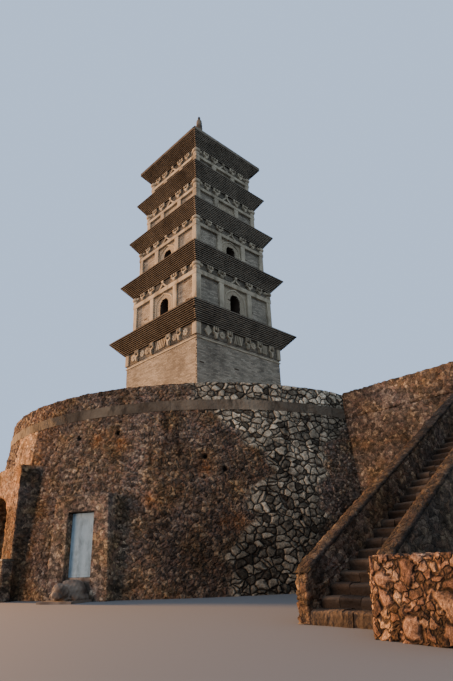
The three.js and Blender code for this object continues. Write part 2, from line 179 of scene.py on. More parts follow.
def facedShell(counts, front, back):
    # a finely divided front and a back of one row: front(u, w) and back(u, w) give x, y, z
    nu, nw = counts
    u, w = np.meshgrid(np.linspace(0, 1, nu + 1), np.linspace(0, 1, nw + 1), indexing="ij")
    u2, w2 = np.meshgrid(np.linspace(0, 1, nu + 1), [0.0, 1.0], indexing="ij")
    face = np.stack(front(u.ravel(), w.ravel()), axis=1)
    rear = np.stack(back(u2.ravel(), w2.ravel()), axis=1)
    fine = np.arange(face.shape[0]).reshape(nu + 1, nw + 1)
    rough = face.shape[0] + np.arange(rear.shape[0]).reshape(nu + 1, 2)
    quads = [sheetQuads(fine), sheetQuads(rough)[:, ::-1]]
    quads.append(sheetQuads(np.stack([rough[:, 0], fine[:, 0]], axis=1)))
    quads.append(sheetQuads(np.stack([fine[:, -1], rough[:, 1]], axis=1)))
    fans = []
    for end, flip in ((0, False), (-1, True)):
        edge = np.append(fine[end], rough[end, 1])
        fan = np.stack([np.full(len(edge) - 1, rough[end, 0]), edge[:-1], edge[1:]], axis=1)
        fans.append(fan[:, ::-1] if flip else fan)
    points = np.concatenate([face, rear])
    shell = turnOutward(points, np.concatenate(quads), np.concatenate(fans))
    return shell, np.arange(len(points)) < len(face)


def joinShells(shells):
    # several shells as one
    starts = np.cumsum([0] + [len(shell[0]) for shell in shells[:-1]])
    points = np.concatenate([shell[0] for shell in shells])
    quads = np.concatenate([shell[1] + start for shell, start in zip(shells, starts)])
    triangles = np.concatenate([shell[2] + start for shell, start in zip(shells, starts)])
    return points, quads, triangles


def normalsOf(points, quads, triangles):
    # the sum of the face normals round each point, at unit length
    total = np.zeros_like(points)
    for faces, ends in ((quads, (0, 2, 1, 3)), (triangles, (0, 1, 0, 2))):
        a, b, c, d = (points[faces[:, k]] for k in ends)
        cross = np.cross(b - a, d - c)
        for k in range(faces.shape[1]):
            for axis in range(3):
                total[:, axis] += np.bincount(faces[:, k], cross[:, axis], len(points))
    return total / np.maximum(np.linalg.norm(total, axis=1, keepdims=True), 1e-12)


def makePiece(name, shell, material, nodes=(), attributes=None, smooth=False):
    points, quads, triangles = shell
    mesh = bpy.data.meshes.new(name)
    mesh.vertices.add(len(points))
    mesh.vertices.foreach_set("co", points.astype(np.float32).ravel())
    corners = np.concatenate([quads.ravel(), triangles.ravel()]).astype(np.int32)
    mesh.loops.add(len(corners))
    mesh.loops.foreach_set("vertex_index", corners)
    starts = np.concatenate([4 * np.arange(len(quads)), 4 * len(quads) + 3 * np.arange(len(triangles))])
    mesh.polygons.add(len(starts))
    mesh.polygons.foreach_set("loop_start", starts.astype(np.int32))
    mesh.update(calc_edges=True)
    for key, values in (attributes or {}).items():
        attribute = mesh.attributes.new(key, "FLOAT", "POINT")
        attribute.data.foreach_set("value", values.astype(np.float32))
    mesh.polygons.foreach_set("use_smooth", np.full(len(starts), smooth))
    mesh.materials.append(material)
    piece = addToScene(name, mesh)
    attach(piece, "root")
    if nodes:
        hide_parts(*nodes)
    return piece


def smoothStep(value):
    # 3 t^2 - 2 t^3 between 0 and 1
    t = np.clip(value, 0, 1)
    return t * t * (3 - 2 * t)


def between(start, stop, share):
    return start + (stop - start) * share


# Stone pattern, shared by the rubble material and by the relief of the rubble meshes

# sizes in metres; the shoulder is the share of a stone that its rounded edge takes
stones = {"length": 0.27, "height": 0.20, "wander": 0.15, "wanderSize": 0.42, "shoulder": 0.15}
lumps = {"length": 0.13, "height": 0.10, "wander": 0.10, "wanderSize": 0.17, "shoulder": 0.34}
relief = {
    "paleBulge": 0.036,     # metres: rounding of a stone, and steps between stones
    "paleStep": 0.022,
    "brownBulge": 0.040,
    "brownStep": 0.030,
    "brownSwell": 0.022,
    "palePick": 0.76,       # in laid work, stones with a third tone over this are of the pale kind
}


def stonePattern(tree, place, look):
    # cells of a 3-D Voronoi pattern in a space that is bent by noise and squashed in height
    waves = {"Vector": place, "Scale": 1 / look["wanderSize"], "Detail": 2.0}
    cells = addNode(tree, "ShaderNodeTexNoise", waves).outputs[1]
    steps = [
        ("SUBTRACT", {1: (0.5, 0.5, 0.5)}),
        ("SCALE", {"Scale": look["wander"] * 2}),
        ("ADD", {1: place}),
        ("MULTIPLY", {1: (1 / look["length"], 1 / look["length"], 1 / look["height"])}),
    ]
    for operation, other in steps:
        cells = addNode(tree, "ShaderNodeVectorMath", {0: cells, **other}, operation=operation)
    edge, tone = (
        addNode(tree, "ShaderNodeTexVoronoi", {"Vector": cells, "Scale": 1.0}, feature=feature)
        for feature in ("DISTANCE_TO_EDGE", "F1")
    )
    return edge.outputs["Distance"], tone.outputs["Color"]


def stoneField(points):
    # both stone patterns read at every point, with the same nodes that the material uses
    tree = bpy.data.node_groups.new("stoneField", "GeometryNodeTree")
    for way in ("INPUT", "OUTPUT"):
        tree.interface.new_socket("Geometry", in_out=way, socket_type="NodeSocketGeometry")
    flow = addNode(tree, "NodeGroupInput")
    place = addNode(tree, "GeometryNodeInputPosition")
    for name, look in (("stone", stones), ("lump", lumps)):
        edge, tone = stonePattern(tree, place, look)
        for part, value, kind in (("Edge", edge, "FLOAT"), ("Tone", tone, "FLOAT_VECTOR")):
            flow = addNode(
                tree, "GeometryNodeStoreNamedAttribute", {0: flow, 2: name + part, 3: value},
                data_type=kind, domain="POINT",
            )
    addNode(tree, "NodeGroupOutput", {0: flow})
    mesh = bpy.data.meshes.new("stoneField")
    mesh.vertices.add(len(points))
    mesh.vertices.foreach_set("co", points.astype(np.float32).ravel())
    probe = addToScene("stoneField", mesh)
    probe.modifiers.new("stoneField", "NODES").node_group = tree
    evaluated = probe.evaluated_get(bpy.context.evaluated_depsgraph_get()).data
    field = {}
    for name in ("stone", "lump"):
        edges = np.zeros(len(points), np.float32)
        tones = np.zeros(3 * len(points), np.float32)
        evaluated.attributes[name + "Edge"].data.foreach_get("value", edges)
        evaluated.attributes[name + "Tone"].data.foreach_get("vector", tones)
        field[name] = edges, tones.reshape(-1, 3)
    bpy.data.objects.remove(probe)
    bpy.data.meshes.remove(mesh)
    bpy.data.node_groups.remove(tree)
    return field


# Materials

rubbleNoise = {
    # waves per metre; the real grit of 1 to 5 mm is too fine to show, so it is drawn coarser
    "fine": {"Scale": 26.0, "Detail": 5.0, "Roughness": 0.7},     # 38 mm
    "grit": {"Scale": 9.0, "Detail": 5.0, "Roughness": 0.7},      # 110 mm
    "broad": {"Scale": 0.7, "Detail": 6.0, "Roughness": 0.62},    # 1.4 m: sun and weather
    "drift": {"Scale": 1.1, "Detail": 5.0, "Roughness": 0.6},     # 0.9 m: loads of another quarry's stone
}
rubbleLook = {
    "jointFrom": -0.08,       # joint widths are shares of a stone's size
    "brownJoint": 0.08,
    "paleJoint": 0.05,
    "ragged": 0.16,
    "lichenAndSunGlow": "b3742f",
    "lichenFrom": 0.2,
    "tints": [(0.36, "b4b6ba"), (0.5, "bfbbb3"), (0.64, "c6b99e")],    # violet grey, brown and ochre
    "paleTint": "c2c2bc",
    "darkest": 0.4,           # how far the finest grit darkens and lightens
    "lightest": 0.35,
    "roughness": 0.92,
    "depth": 0.036,           # of the bump, in metres
}
masonryLook = {
    "patches": {"Scale": 2.4, "Detail": 4.0, "Roughness": 0.55},    # 0.4 m: blotches over several bricks
    "runs": (1.0, 1.0, 0.4),  # stains are drawn out downwards
    "stained": (0.46, 0.70),  # from clean to stained
    "washed": 0.85,           # lime wash is a little patchy
    "sootAndShade": 0.1,             # brightness at full soot and painted shade, and at a rubbed edge with a painted highlight
    "rubbedAndHighlit": 1.9,
    "down": (-0.9, -0.4),     # how far a face looks down: painted shade is full at the first and gone at the second
    "roughness": 0.9,
}


def startMaterial(name, attributes=()):
    # a cleared tree, the place in metres, and the point attributes of the piece
    material = bpy.data.materials.new(name)
    material.use_nodes = True
    tree = material.node_tree
    tree.nodes.clear()
    place = addNode(tree, "ShaderNodeTexCoord").outputs["Object"]
    read = {
        key: addNode(tree, "ShaderNodeAttribute", attribute_name=key).outputs["Fac"] for key in attributes
    }
    return material, tree, place, read


def finishMaterial(tree, body, layers, rough, height, depth):
    # matt masonry: layers of (share, colour, blend) over the body colour, roughness, and a bump in metres
    for share, colour, blend in layers:
        body = addNode(
            tree, "ShaderNodeMix", {0: share, 6: body, 7: colour}, data_type="RGBA", blend_type=blend,
        ).outputs[2]
    bump = addNode(tree, "ShaderNodeBump", {"Height": height, "Distance": depth, "Strength": 1.0})
    surface = addNode(tree, "ShaderNodeBsdfPrincipled", {
        "Base Color": body,
        "Roughness": rough,
        "Specular IOR Level": 0.25,
        "Normal": bump,
    })
    addNode(tree, "ShaderNodeOutputMaterial", {"Surface": surface})


def makeRubble(name, brown, pale, joint, grain=1.0):
    # Rubble masonry, stones laid in lime mortar and left rough: broken colour from stone to stone, sunken
    # joints, and a crust of rust and soot over the old work, with painted shade and painted sunlight from the
    # attributes
    look = rubbleLook
    material, tree, place, read = startMaterial(name, ("pale", "stainAndPaintedLight", "rustAndSunGlow"))
    stoneEdge, stoneTone = stonePattern(tree, place, stones)
    lumpEdge, lumpTone = stonePattern(tree, place, lumps)
    noise = {
        key: addNode(tree, "ShaderNodeTexNoise", {"Vector": place, **waves})
        for key, waves in rubbleNoise.items()
    }
    tones = []
    for tone, ramp in ((lumpTone, brown), (stoneTone, pale)):
        split = addNode(tree, "ShaderNodeSeparateColor", {0: tone})
        blend = addNode(tree, "ShaderNodeMath", {0: split, 1: noise["grit"]}, operation="ADD")
        share = addNode(tree, "ShaderNodeMath", {0: blend, 1: 0.5}, operation="MULTIPLY")
        tones.append(addNode(tree, "ShaderNodeValToRGB", {0: share}, stops=ramp))
    # ragged joints, about 30 mm wide: open between pale stones, choked with crust between brown ones
    ragged = addNode(tree, "ShaderNodeMath", {0: noise["grit"], 1: look["ragged"]}, operation="MULTIPLY")
    gaps = []
    for edge, width in ((lumpEdge, look["brownJoint"]), (stoneEdge, look["paleJoint"])):
        shifted = addNode(tree, "ShaderNodeMath", {0: edge, 1: ragged}, operation="SUBTRACT")
        gaps.append(addNode(
            tree, "ShaderNodeMapRange", {0: shifted, 1: look["jointFrom"], 2: width, 3: 1.0, 4: 0.0},
            interpolation_type="SMOOTHSTEP",
        ))
    choked = addNode(tree, "ShaderNodeMath", {0: gaps[0], 1: joint["brownShare"]}, operation="MULTIPLY")
    gap = addNode(tree, "ShaderNodeMix", {0: read["pale"], 2: choked, 3: gaps[1]})
    # lichen colour where the rust attribute asks: real rust spots, and the painted warm glow of sunlight
    rustAndGlowShare = addNode(tree, "ShaderNodeMath", {0: noise["grit"], 1: look["lichenFrom"]}, operation="SUBTRACT")
    rustAndGlowShare = addNode(tree, "ShaderNodeMath", {0: read["rustAndSunGlow"], 1: rustAndGlowShare}, operation="MULTIPLY")
    tint = addNode(tree, "ShaderNodeValToRGB", {0: noise["drift"]}, stops=look["tints"])
    body, tint = (
        addNode(tree, "ShaderNodeMix", {0: read["pale"], 6: old, 7: new}, data_type="RGBA").outputs[2]
        for old, new in (tones, (tint, fromHex(look["paleTint"])))
    )
    # weather, two sizes of grit, and stain, which runs from 1, black with wet stains and painted shade, to
    # -1, bleached and painted sunlit
    darkest, lightest = 1 - look["darkest"] * grain, 1 + look["lightest"] * grain
    ranges = [
        (noise["broad"], 0.36, 0.66, 2.5, 1.25, "SMOOTHSTEP"),
        (noise["fine"], 0.3, 0.7, darkest, lightest, "LINEAR"),
        (noise["grit"], 0.36, 0.64, 0.60, 1.40, "LINEAR"),
        (read["stainAndPaintedLight"], -1.0, 1.0, 1.96, 0.20, "LINEAR"),
    ]
    factor = 1.0
    for source, low, high, first, last, kind in ranges:
        ends = {0: source, 1: low, 2: high, 3: first, 4: last}
        ranged = addNode(tree, "ShaderNodeMapRange", ends, interpolation_type=kind)
        factor = addNode(tree, "ShaderNodeMath", {0: factor, 1: ranged}, operation="MULTIPLY")
    rough = addNode(tree, "ShaderNodeMath", {0: noise["fine"], 1: noise["grit"]}, operation="ADD")
    height = addNode(tree, "ShaderNodeMath", {0: rough, 1: gap}, operation="SUBTRACT")
    layers = [
        (gap, fromHex(joint["colour"]), "MIX"),
        (rustAndGlowShare, fromHex(look["lichenAndSunGlow"]), "MIX"),
        (1.0, tint, "MULTIPLY"),
        (1.0, factor, "MULTIPLY"),
    ]
    finishMaterial(tree, body, layers, look["roughness"], height, look["depth"] * grain)
    return material


def makeMasonry(
    name, tones, soot, grainSize, grainDepth, stainSize=1.4, stainShare=0.5, lime=None, under=1.0,
):
    # Brick, mortar and dressed stone: a tone of its own for each block, dirt that runs down over many
    # courses, lime wash where the attribute says so, and painted shade on faces that look down
    look = masonryLook
    material, tree, place, read = startMaterial(name, ("tone", "wearAndPaintedLight", "lime"))
    grain = addNode(tree, "ShaderNodeTexNoise", {"Vector": place, "Scale": 1 / grainSize, "Detail": 4.0})
    patches = addNode(tree, "ShaderNodeTexNoise", {"Vector": place, **look["patches"]})
    drawnOut = addNode(tree, "ShaderNodeMapping", {"Vector": place, "Scale": look["runs"]})
    dirt = {"Vector": drawnOut, "Scale": 1 / stainSize, "Detail": 7.0, "Roughness": 0.65}
    stains = addNode(tree, "ShaderNodeTexNoise", dirt)
    mixed = addNode(tree, "ShaderNodeMath", {0: read["tone"], 1: patches}, operation="ADD")
    share = addNode(tree, "ShaderNodeMath", {0: mixed, 1: 0.5}, operation="MULTIPLY")
    body = addNode(tree, "ShaderNodeValToRGB", {0: share}, stops=tones)
    clean, stained = look["stained"]
    where = addNode(
        tree, "ShaderNodeMapRange", {0: stains, 1: clean, 2: stained, 3: 0.0, 4: stainShare},
        interpolation_type="SMOOTHSTEP",
    )
    # wear runs from 1, rubbed bright and painted highlight, to -1, black with soot and painted shade
    wearAndPaintedLight = {0: read["wearAndPaintedLight"], 1: -1.0, 2: 1.0, 3: look["sootAndShade"], 4: look["rubbedAndHighlit"]}
    worn = addNode(tree, "ShaderNodeMapRange", wearAndPaintedLight)
    # painted shade: faces that look down are darkened, down to the share given as under
    normal = addNode(tree, "ShaderNodeTexCoord").outputs["Normal"]
    facing = addNode(tree, "ShaderNodeSeparateXYZ", {0: normal})
    down, level = look["down"]
    shade = addNode(tree, "ShaderNodeMapRange", {0: facing.outputs[2], 1: down, 2: level, 3: under, 4: 1.0})
    factor = addNode(tree, "ShaderNodeMath", {0: worn, 1: shade}, operation="MULTIPLY")
    layers = [(where, fromHex(soot), "MIX"), (1.0, factor, "MULTIPLY")]
    if lime:
        wash = patches
        for operation, other in (("ADD", look["washed"]), ("MULTIPLY", read["lime"]), ("MINIMUM", 1.0)):
            wash = addNode(tree, "ShaderNodeMath", {0: wash, 1: other}, operation=operation)
        layers.insert(0, (wash, fromHex(lime), "MIX"))
    finishMaterial(tree, body, layers, look["roughness"], grain, grainDepth)
    return material


# rubble laid rough: dark and broken, each stone a tone of its own, under a crust of rust and soot, with
# painted shade and sunlight where its attributes lay them
rubbleStone = makeRubble(
    "rubbleMasonryRough",
    brown=[
        (0.1, "36302c"), (0.3, "554e47"), (0.43, "6d665e"),
        (0.53, "7b685e"), (0.66, "8e8173"), (0.9, "b8ab98"),
    ],
    pale=[(0.28, "4c4a44"), (0.38, "7a7870"), (0.5, "98958a"), (0.64, "b1ada0"), (0.8, "cfcabc")],
    joint={"colour": "322d29", "brownShare": 0.4},
)
# rosy stone, split and laid in deep joints: coarse, with faces that catch the light
pierStone = makeRubble(
    "rubbleMasonryRosy",
    brown=[(0.2, "2f2621"), (0.36, "5a4a41"), (0.5, "806558"), (0.62, "987f70"), (0.85, "c4ad96")],
    pale=[(0.2, "3d312a"), (0.36, "664f46"), (0.5, "80655a"), (0.62, "8b6f62"), (0.85, "a38a79")],
    joint={"colour": "1d1713", "brownShare": 0.9}, grain=1.9,
)
# moulded and fired brick: grey-buff, with broad stains down the wall
wallBrick = makeMasonry(
    "firedBrickWeathered", [(0.1, "767167"), (0.4, "979182"), (0.6, "a7a090"), (0.9, "bfb7a5")],
    soot="4d4942", grainSize=0.02, grainDepth=0.004, stainShare=0.5, lime="b8ad94",
)
# the same brick under the eaves: sooty, with painted shade that is darkest on faces that look down
eaveBrick = makeMasonry(
    "firedBrickSooty", [(0.0, "403d37"), (0.4, "666157"), (0.75, "837c6e"), (1.0, "a09786")],
    soot="24211e", grainSize=0.02, grainDepth=0.003, under=0.45,
)
# brick cut to shape and washed with lime: chalky, flaked to the brick in patches
limedBrick = makeMasonry(
    "cutBrickLimewashed", [(0.15, "7b7566"), (0.4, "a59d8a"), (0.6, "bdb59f"), (0.85, "d9d1bb")],
    soot="57503f", grainSize=0.03, grainDepth=0.006, stainSize=0.5, stainShare=0.7,
)
# trowelled lime mortar, behind the bricks: dark lines between them
limeMortar = makeMasonry(
    "limeMortarOld", [(0.0, "3c342d"), (0.5, "574b40"), (1.0, "706253")],
    soot="2e2823", grainSize=0.015, grainDepth=0.002,
)
eaveMortar = makeMasonry(
    "limeMortarSooty", [(0.0, "14110f"), (0.5, "201a17"), (1.0, "2e2621")],
    soot="100e0d", grainSize=0.015, grainDepth=0.002,
)
# render floated by hand and long out in the rain: lumpy, with runs of dirt
cementRender = makeMasonry(
    "cementRenderWeathered", [(0.2, "443f37"), (0.4, "655f54"), (0.6, "7d7668"), (0.8, "958e7e")],
    soot="2e2b26", grainSize=0.07, grainDepth=0.04, stainSize=0.3, stainShare=0.8,
)
# limestone rubbed smooth: pale, cool and even
paleStone = makeMasonry(
    "limestoneHoned", [(0.2, "7f9aa9"), (0.45, "a0bccb"), (0.7, "bbd7e5"), (1.0, "d6edf8")],
    soot="5b6b74", grainSize=0.02, grainDepth=0.001, stainSize=0.22, stainShare=0.55,
)
# stone carved with the chisel and worn blunt: grey-brown, with rounded pits
darkStone = makeMasonry(
    "carvedStoneWorn", [(0.2, "4b443e"), (0.45, "756b61"), (0.65, "94897c"), (0.9, "bdb2a2")],
    soot="38322e", grainSize=0.05, grainDepth=0.02, stainSize=0.35,
)
# split stone under many feet: dark faces and rubbed noses
stepStone = makeMasonry(
    "splitStoneTrodden", [(0.15, "241f1b"), (0.42, "3d352e"), (0.6, "51473d"), (0.85, "7b6e5f")],
    soot="1d1916", grainSize=0.06, grainDepth=0.03, stainSize=0.4,
)
# sawn slabs: flat and plain grey
pavingStone = makeMasonry(
    "sawnPavingStone", [(0.0, "6d6862"), (0.5, "8a847b"), (1.0, "a39c91")],
    soot="57524c", grainSize=0.02, grainDepth=0.003, stainSize=1.5,
)
print("pagoda: materials made")

# The tower's own sizes, read from the frame


def storeySizes(number):
    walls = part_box(f"storey_{number}_walls")
    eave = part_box(f"storey_{number}_eave")
    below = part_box(f"storey_{number - 1}_eave") if number > 1 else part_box("terrace_deck")
    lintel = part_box("storey_1_string_course" if number == 1 else f"storey_{number}_posts_and_lintel")
    return {
        "number": number,
        "wall": walls[1].x,
        "eave": eave[1].x,
        "eaveTop": walls[1].z,
        "corbel": eave[0].z,
        "band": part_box(f"storey_{number}_bracket_band")[0].z,
        "lintelTop": lintel[1].z,
        "foot": below[1].z,
    }


storeys = [storeySizes(number) for number in range(1, 6)]
postOffsets = {2: 0.945, 3: 0.840, 4: 0.735, 5: 0.700}
lintelDepth = {2: 0.239, 3: 0.186, 4: 0.175, 5: 0.175}
arches = {
    2: {"half": 0.3275, "sill": 12.017, "crown": 12.950, "tip": 13.23},
    3: {"half": 0.3035, "sill": 15.160, "crown": 15.843, "tip": 16.12},
}


def turned(shell, quarter):
    # a shape made on the face that looks to -Y, turned by quarters about the tower's axis
    c, s = ((1, 0), (0, 1), (-1, 0), (0, -1))[quarter]
    x, y, z = shell[0].T
    return np.stack([c * x - s * y, s * x + c * y, z], axis=1), shell[1], shell[2]


def onFourSides(shells):
    # what is the same on every face of the tower
    return [turned(shell, quarter) for quarter in range(4) for shell in shells]


boxSides = np.array([[0, 1, 3, 2], [4, 6, 7, 5], [0, 4, 5, 1], [2, 3, 7, 6], [0, 2, 6, 4], [1, 5, 7, 3]])
edgeWearAndLight = (0, 0, 1.0, -0.35)    # corners at the back, then the front's lower edge, rubbed and with a painted highlight, and its upper edge, sooty and in painted shade


def boxBatch(low, high, wobble, random):
    # many boxes at once: low and high hold (across, out, up) of each, and every corner is moved a little
    pick = np.array([[i, j, k] for i in (0, 1) for j in (0, 1) for k in (0, 1)])
    corner = np.where(pick[None], high[:, None], low[:, None])
    corner = corner + random.uniform(-wobble, wobble, corner.shape)
    points = np.stack([corner[..., 0], -corner[..., 1], corner[..., 2]], axis=-1).reshape(-1, 3)
    quads = (boxSides[None] + 8 * np.arange(len(low))[:, None, None]).reshape(-1, 4)
    return turnOutward(points, quads, noTriangles), np.tile(edgeWearAndLight, 2 * len(low))


class BrickHeap:
    # gathers boxes with their tones, to make one piece of them

    def __init__(self, seed, wobble):
        self.random = np.random.default_rng(seed)
        self.wobble = wobble
        self.shells, self.values = [], {"tone": [], "wearAndPaintedLight": [], "lime": []}

    def add(self, quarter, sides, tone=None, lime=0.0, wearAndPaintedLight=None):
        # sides are left, right, back, front, bottom and top, each an array or one number
        left, right, back, front, bottom, top = sides
        if len(left) == 0:
            return
        corners = (left, back, bottom), (right, front, top)
        low, high = (np.stack(np.broadcast_arrays(*corner), axis=1) for corner in corners)
        shell, cornerWearAndLight = boxBatch(low, high, self.wobble, self.random)
        tone = self.random.random(len(low)) if tone is None else tone
        self.shells.append(turned(shell, quarter))
        self.values["tone"].append(np.repeat(tone, 8))
        self.values["wearAndPaintedLight"].append(cornerWearAndLight if wearAndPaintedLight is None else np.repeat(wearAndPaintedLight, 8))
        self.values["lime"].append(np.repeat(np.broadcast_to(lime, len(low)), 8))

    def piece(self, name, material, slot):
        values = {key: np.concatenate(parts) for key, parts in self.values.items()}
        makePiece(name, joinShells(self.shells), material, attributes=values)


# Brickwork of the walls: stretchers 262 x 54 mm in courses of 65 mm

brickwork = {
    "length": 0.262,
    "joint": 0.005,
    "bed": 0.011,
    "course": 0.0652,
    "proud": 0.006,
    "depth": 0.05,
    "uneven": 0.0015,
    "mostUneven": 0.006,
    "wobble": 0.0006,
    "rowShift": 0.08,      # share of a brick
    "endShift": 0.012,
    "shortest": 0.03,
    "shortestAtArch": 0.015,
    "lost": 0.004,         # share of bricks whose face has gone, and how deep
    "lostDepth": 0.015,
    "below": 0.02,         # how far the brickwork runs on past the foot and the head of the wall
    "above": 0.01,
    "bandProud": 0.030,
    "bandShade": -0.54,     # painted shade behind the brackets and under the lintels
    "shadeDepth": 0.16,
    "lime": 0.5,           # between the posts
}


def courseLayout(low, high, bottom, top, look, random):
    # rows of bricks between two upright lines, each second row moved half a brick
    rows = max(1, round((top - bottom) / look["course"]))
    height = (top - bottom) / rows
    pitch = look["length"] + look["joint"]
    count = int((high - low) / pitch) + 3
    row, place = np.meshgrid(np.arange(rows), np.arange(count), indexing="ij")
    shift = random.uniform(-look["rowShift"], look["rowShift"], (rows, 1))
    ends = low + (place - 1 + 0.5 * (row % 2) + shift) * pitch
    ends = ends + random.uniform(-look["endShift"], look["endShift"], ends.shape)
    left = np.maximum(ends[:, :-1] + look["joint"] / 2, low)
    right = np.minimum(ends[:, 1:] - look["joint"] / 2, high)
    keep = right - left > look["shortest"]
    floor = (bottom + row[:, :-1] * height + look["bed"] / 2)[keep]
    return left[keep], right[keep], floor, floor + height - look["bed"]


def archHalf(level, arch):
    # half width of the arched opening: the jamb, then sqrt(r^2 - h^2) above the springing
    radius = arch["half"]
    rise = np.clip(level - (arch["crown"] - radius), 0, radius)
    inside = (level > arch["sill"] - 0.01) & (level < arch["crown"])
    return np.where(inside, np.sqrt(np.maximum(radius ** 2 - rise ** 2, 0)), 0)


def layWall(storey, look):
    number = storey["number"]
    heap = BrickHeap(number, look["wobble"])
    # the plain wall, then the band behind the brackets, which stands further out
    bands = [
        (storey["foot"] - look["below"], storey["band"], 0.0),
        (storey["band"], storey["corbel"] + look["above"], look["bandProud"]),
    ]
    for quarter in range(4):
        for bottom, top, extra in bands:
            face = storey["wall"] + extra
            left, right, floor, roof = courseLayout(
                -face - look["proud"], face - look["depth"], bottom, top, look, heap.random,
            )
            if number in arches:
                half = archHalf((floor + roof) / 2, arches[number])
                middle = (left + right) / 2
                right = np.where((middle <= 0) & (half > 0), np.minimum(right, -half), right)
                left = np.where((middle > 0) & (half > 0), np.maximum(left, half), left)
                keep = right - left > look["shortestAtArch"]
                left, right, floor, roof = left[keep], right[keep], floor[keep], roof[keep]
            most = look["mostUneven"]
            stand = face + look["proud"] + heap.random.normal(0, look["uneven"], len(left)).clip(-most, most)
            lost = heap.random.random(len(left)) < look["lost"]
            stand = np.where(lost, face - look["lostDepth"], stand)
            # painted shade: the band behind the brackets is darkened, and the courses under each lintel
            # darken towards it
            lime, wearAndPaintedLight = 0.0, np.full(len(left), look["bandShade"] if extra else 0.0)
            if number in postOffsets and not extra:
                lime = look["lime"] * (np.abs(left + right) / 2 < postOffsets[number])
                lintelFoot = storey["lintelTop"] - lintelDepth[number]
                under = smoothStep((roof - lintelFoot + look["shadeDepth"]) / look["shadeDepth"])
                wearAndPaintedLight = look["bandShade"] * under
            sides = left, right, face - look["depth"], stand, floor, roof
            heap.add(quarter, sides, lime=lime, wearAndPaintedLight=wearAndPaintedLight)
    heap.piece(f"brickwork_storey_{number}", wallBrick, "brick")


for storey in storeys:
    layWall(storey, brickwork)
print("pagoda: wall brickwork made")

# Corbelled eaves and stepped roofs, course by course round all four faces

eaveBrickwork = {
    "length": 0.27,
    "joint": 0.002,
    "bed": 0.025,
    "proud": 0.010,
    "depth": 0.11,
    "uneven": 0.0005,
    "wobble": 0.0003,
    "shortest": 0.03,
    "courses": 11,
    "firstStep": 0.076,
    "roofSteps": 7,
    "roofRise": 0.07,
    "roofBed": 0.002,
    "roofLap": 0.02,       # how far a roof course runs in under the next
    "topRoofSteps": 16,
    "topRoofBed": 0.004,
    "topRoofDepth": 0.16,
    "finialSeat": 0.30,
    "sideToneAgainstLight": (0.75, 0.55, 0.42, -0.22),    # south, east, north and west: painted light on the shaded south, soot and painted shade on the sunlit west
    "toneSpread": 0.16,
}


def layRing(heap, half, bottom, top, look, depth):
    # one course; on each face it runs past one corner, so that the corners are bonded
    pitch = look["length"] + look["joint"]
    start = -half - look["proud"]
    count = int(2 * half / pitch) + 2
    for quarter in range(4):
        ends = start + (np.arange(count + 1) - heap.random.random()) * pitch
        left = np.maximum(ends[:-1] + look["joint"] / 2, start)
        right = np.minimum(ends[1:] - look["joint"] / 2, half - depth)
        keep = right - left > look["shortest"]
        left, right = left[keep], right[keep]
        stand = half + look["proud"] + heap.random.uniform(-look["uneven"], look["uneven"], len(left))
        # a tone for each face, with painted light and shade in it
        tone = look["sideToneAgainstLight"][quarter] + look["toneSpread"] * heap.random.random(len(left))
        heap.add(quarter, (left, right, half - depth, stand, bottom, top), tone=tone)


def layEave(storey, look):
    number = storey["number"]
    heap = BrickHeap(100 + number, look["wobble"])
    height = (storey["eaveTop"] - storey["corbel"]) / look["courses"]
    first = storey["wall"] + look["firstStep"]
    for course in range(look["courses"]):
        half = first + (storey["eave"] - first) * (course + 1) / look["courses"]
        bottom = storey["corbel"] + course * height
        layRing(heap, half, bottom, bottom + height - look["bed"], look, look["depth"])
    heap.piece(f"corbel_courses_storey_{number}", eaveBrick, "corbel_brick")


def layRoof(storey, above, look):
    # courses that step in: low ones up to the next storey's wall, or pairs up to the finial
    heap = BrickHeap(200 + storey["number"], look["wobble"])
    eave, foot = storey["eave"], storey["eaveTop"]
    if above:
        rise, bed = look["roofRise"], look["roofBed"]
        run = (eave - above["wall"]) / (look["roofSteps"] + 1)
        depth = run + look["roofLap"]
        halves = [eave - n * run for n in range(1, look["roofSteps"] + 1)]
    else:
        steps, bed, depth = look["topRoofSteps"], look["topRoofBed"], look["topRoofDepth"]
        rise = (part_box("top_roof")[1].z - foot) / steps / 2
        halves = [eave - (eave - look["finialSeat"]) * (n // 2) / steps for n in range(2 * steps)]
    for n, half in enumerate(halves):
        layRing(heap, half, foot + n * rise, foot + (n + 1) * rise - bed, look, depth)
    heap.piece(f"roof_courses_storey_{storey['number']}", eaveBrick, "corbel_brick")


for storey, above in zip(storeys, storeys[1:] + [None]):
    layEave(storey, eaveBrickwork)
    layRoof(storey, above, eaveBrickwork)
print("pagoda: eaves and roofs made")

# Posts, lintels and the string course, limewashed, with softened edges

postwork = {
    "width": 0.30,
    "proud": 0.102,
    "inset": 0.05,         # how far posts and lintels are let into the wall
    "below": 0.02,
    "lap": 0.01,
    "lintelProud": 0.118,
    "lintelCut": 0.14,     # each lintel stops short of one corner, where the next one passes
    "rounding": 14,        # power of the superellipse that softens the edges
    "stringInset": 0.02,
    "stringCut": 0.07,
    "stringRounding": 6,
}
hood = {
    "width": 0.085,
    "proud": 0.05,
    "inset": 0.03,
    "aside": 0.33,         # from the opening's jamb to the middle of the band
    "spring": 0.9,         # below the crown, as a share of the half width
    "climb": 0.34,         # the Bezier curve's middle points: straight up from the springing,
    "neck": (0.26, 0.13),  # then aside of and below the tip
    "curve": 0.55,         # shares of the run that are curved and upright
    "jamb": 0.45,
    "below": 0.05,
    "taper": 0.35,
    "crowned": 0.5,
}


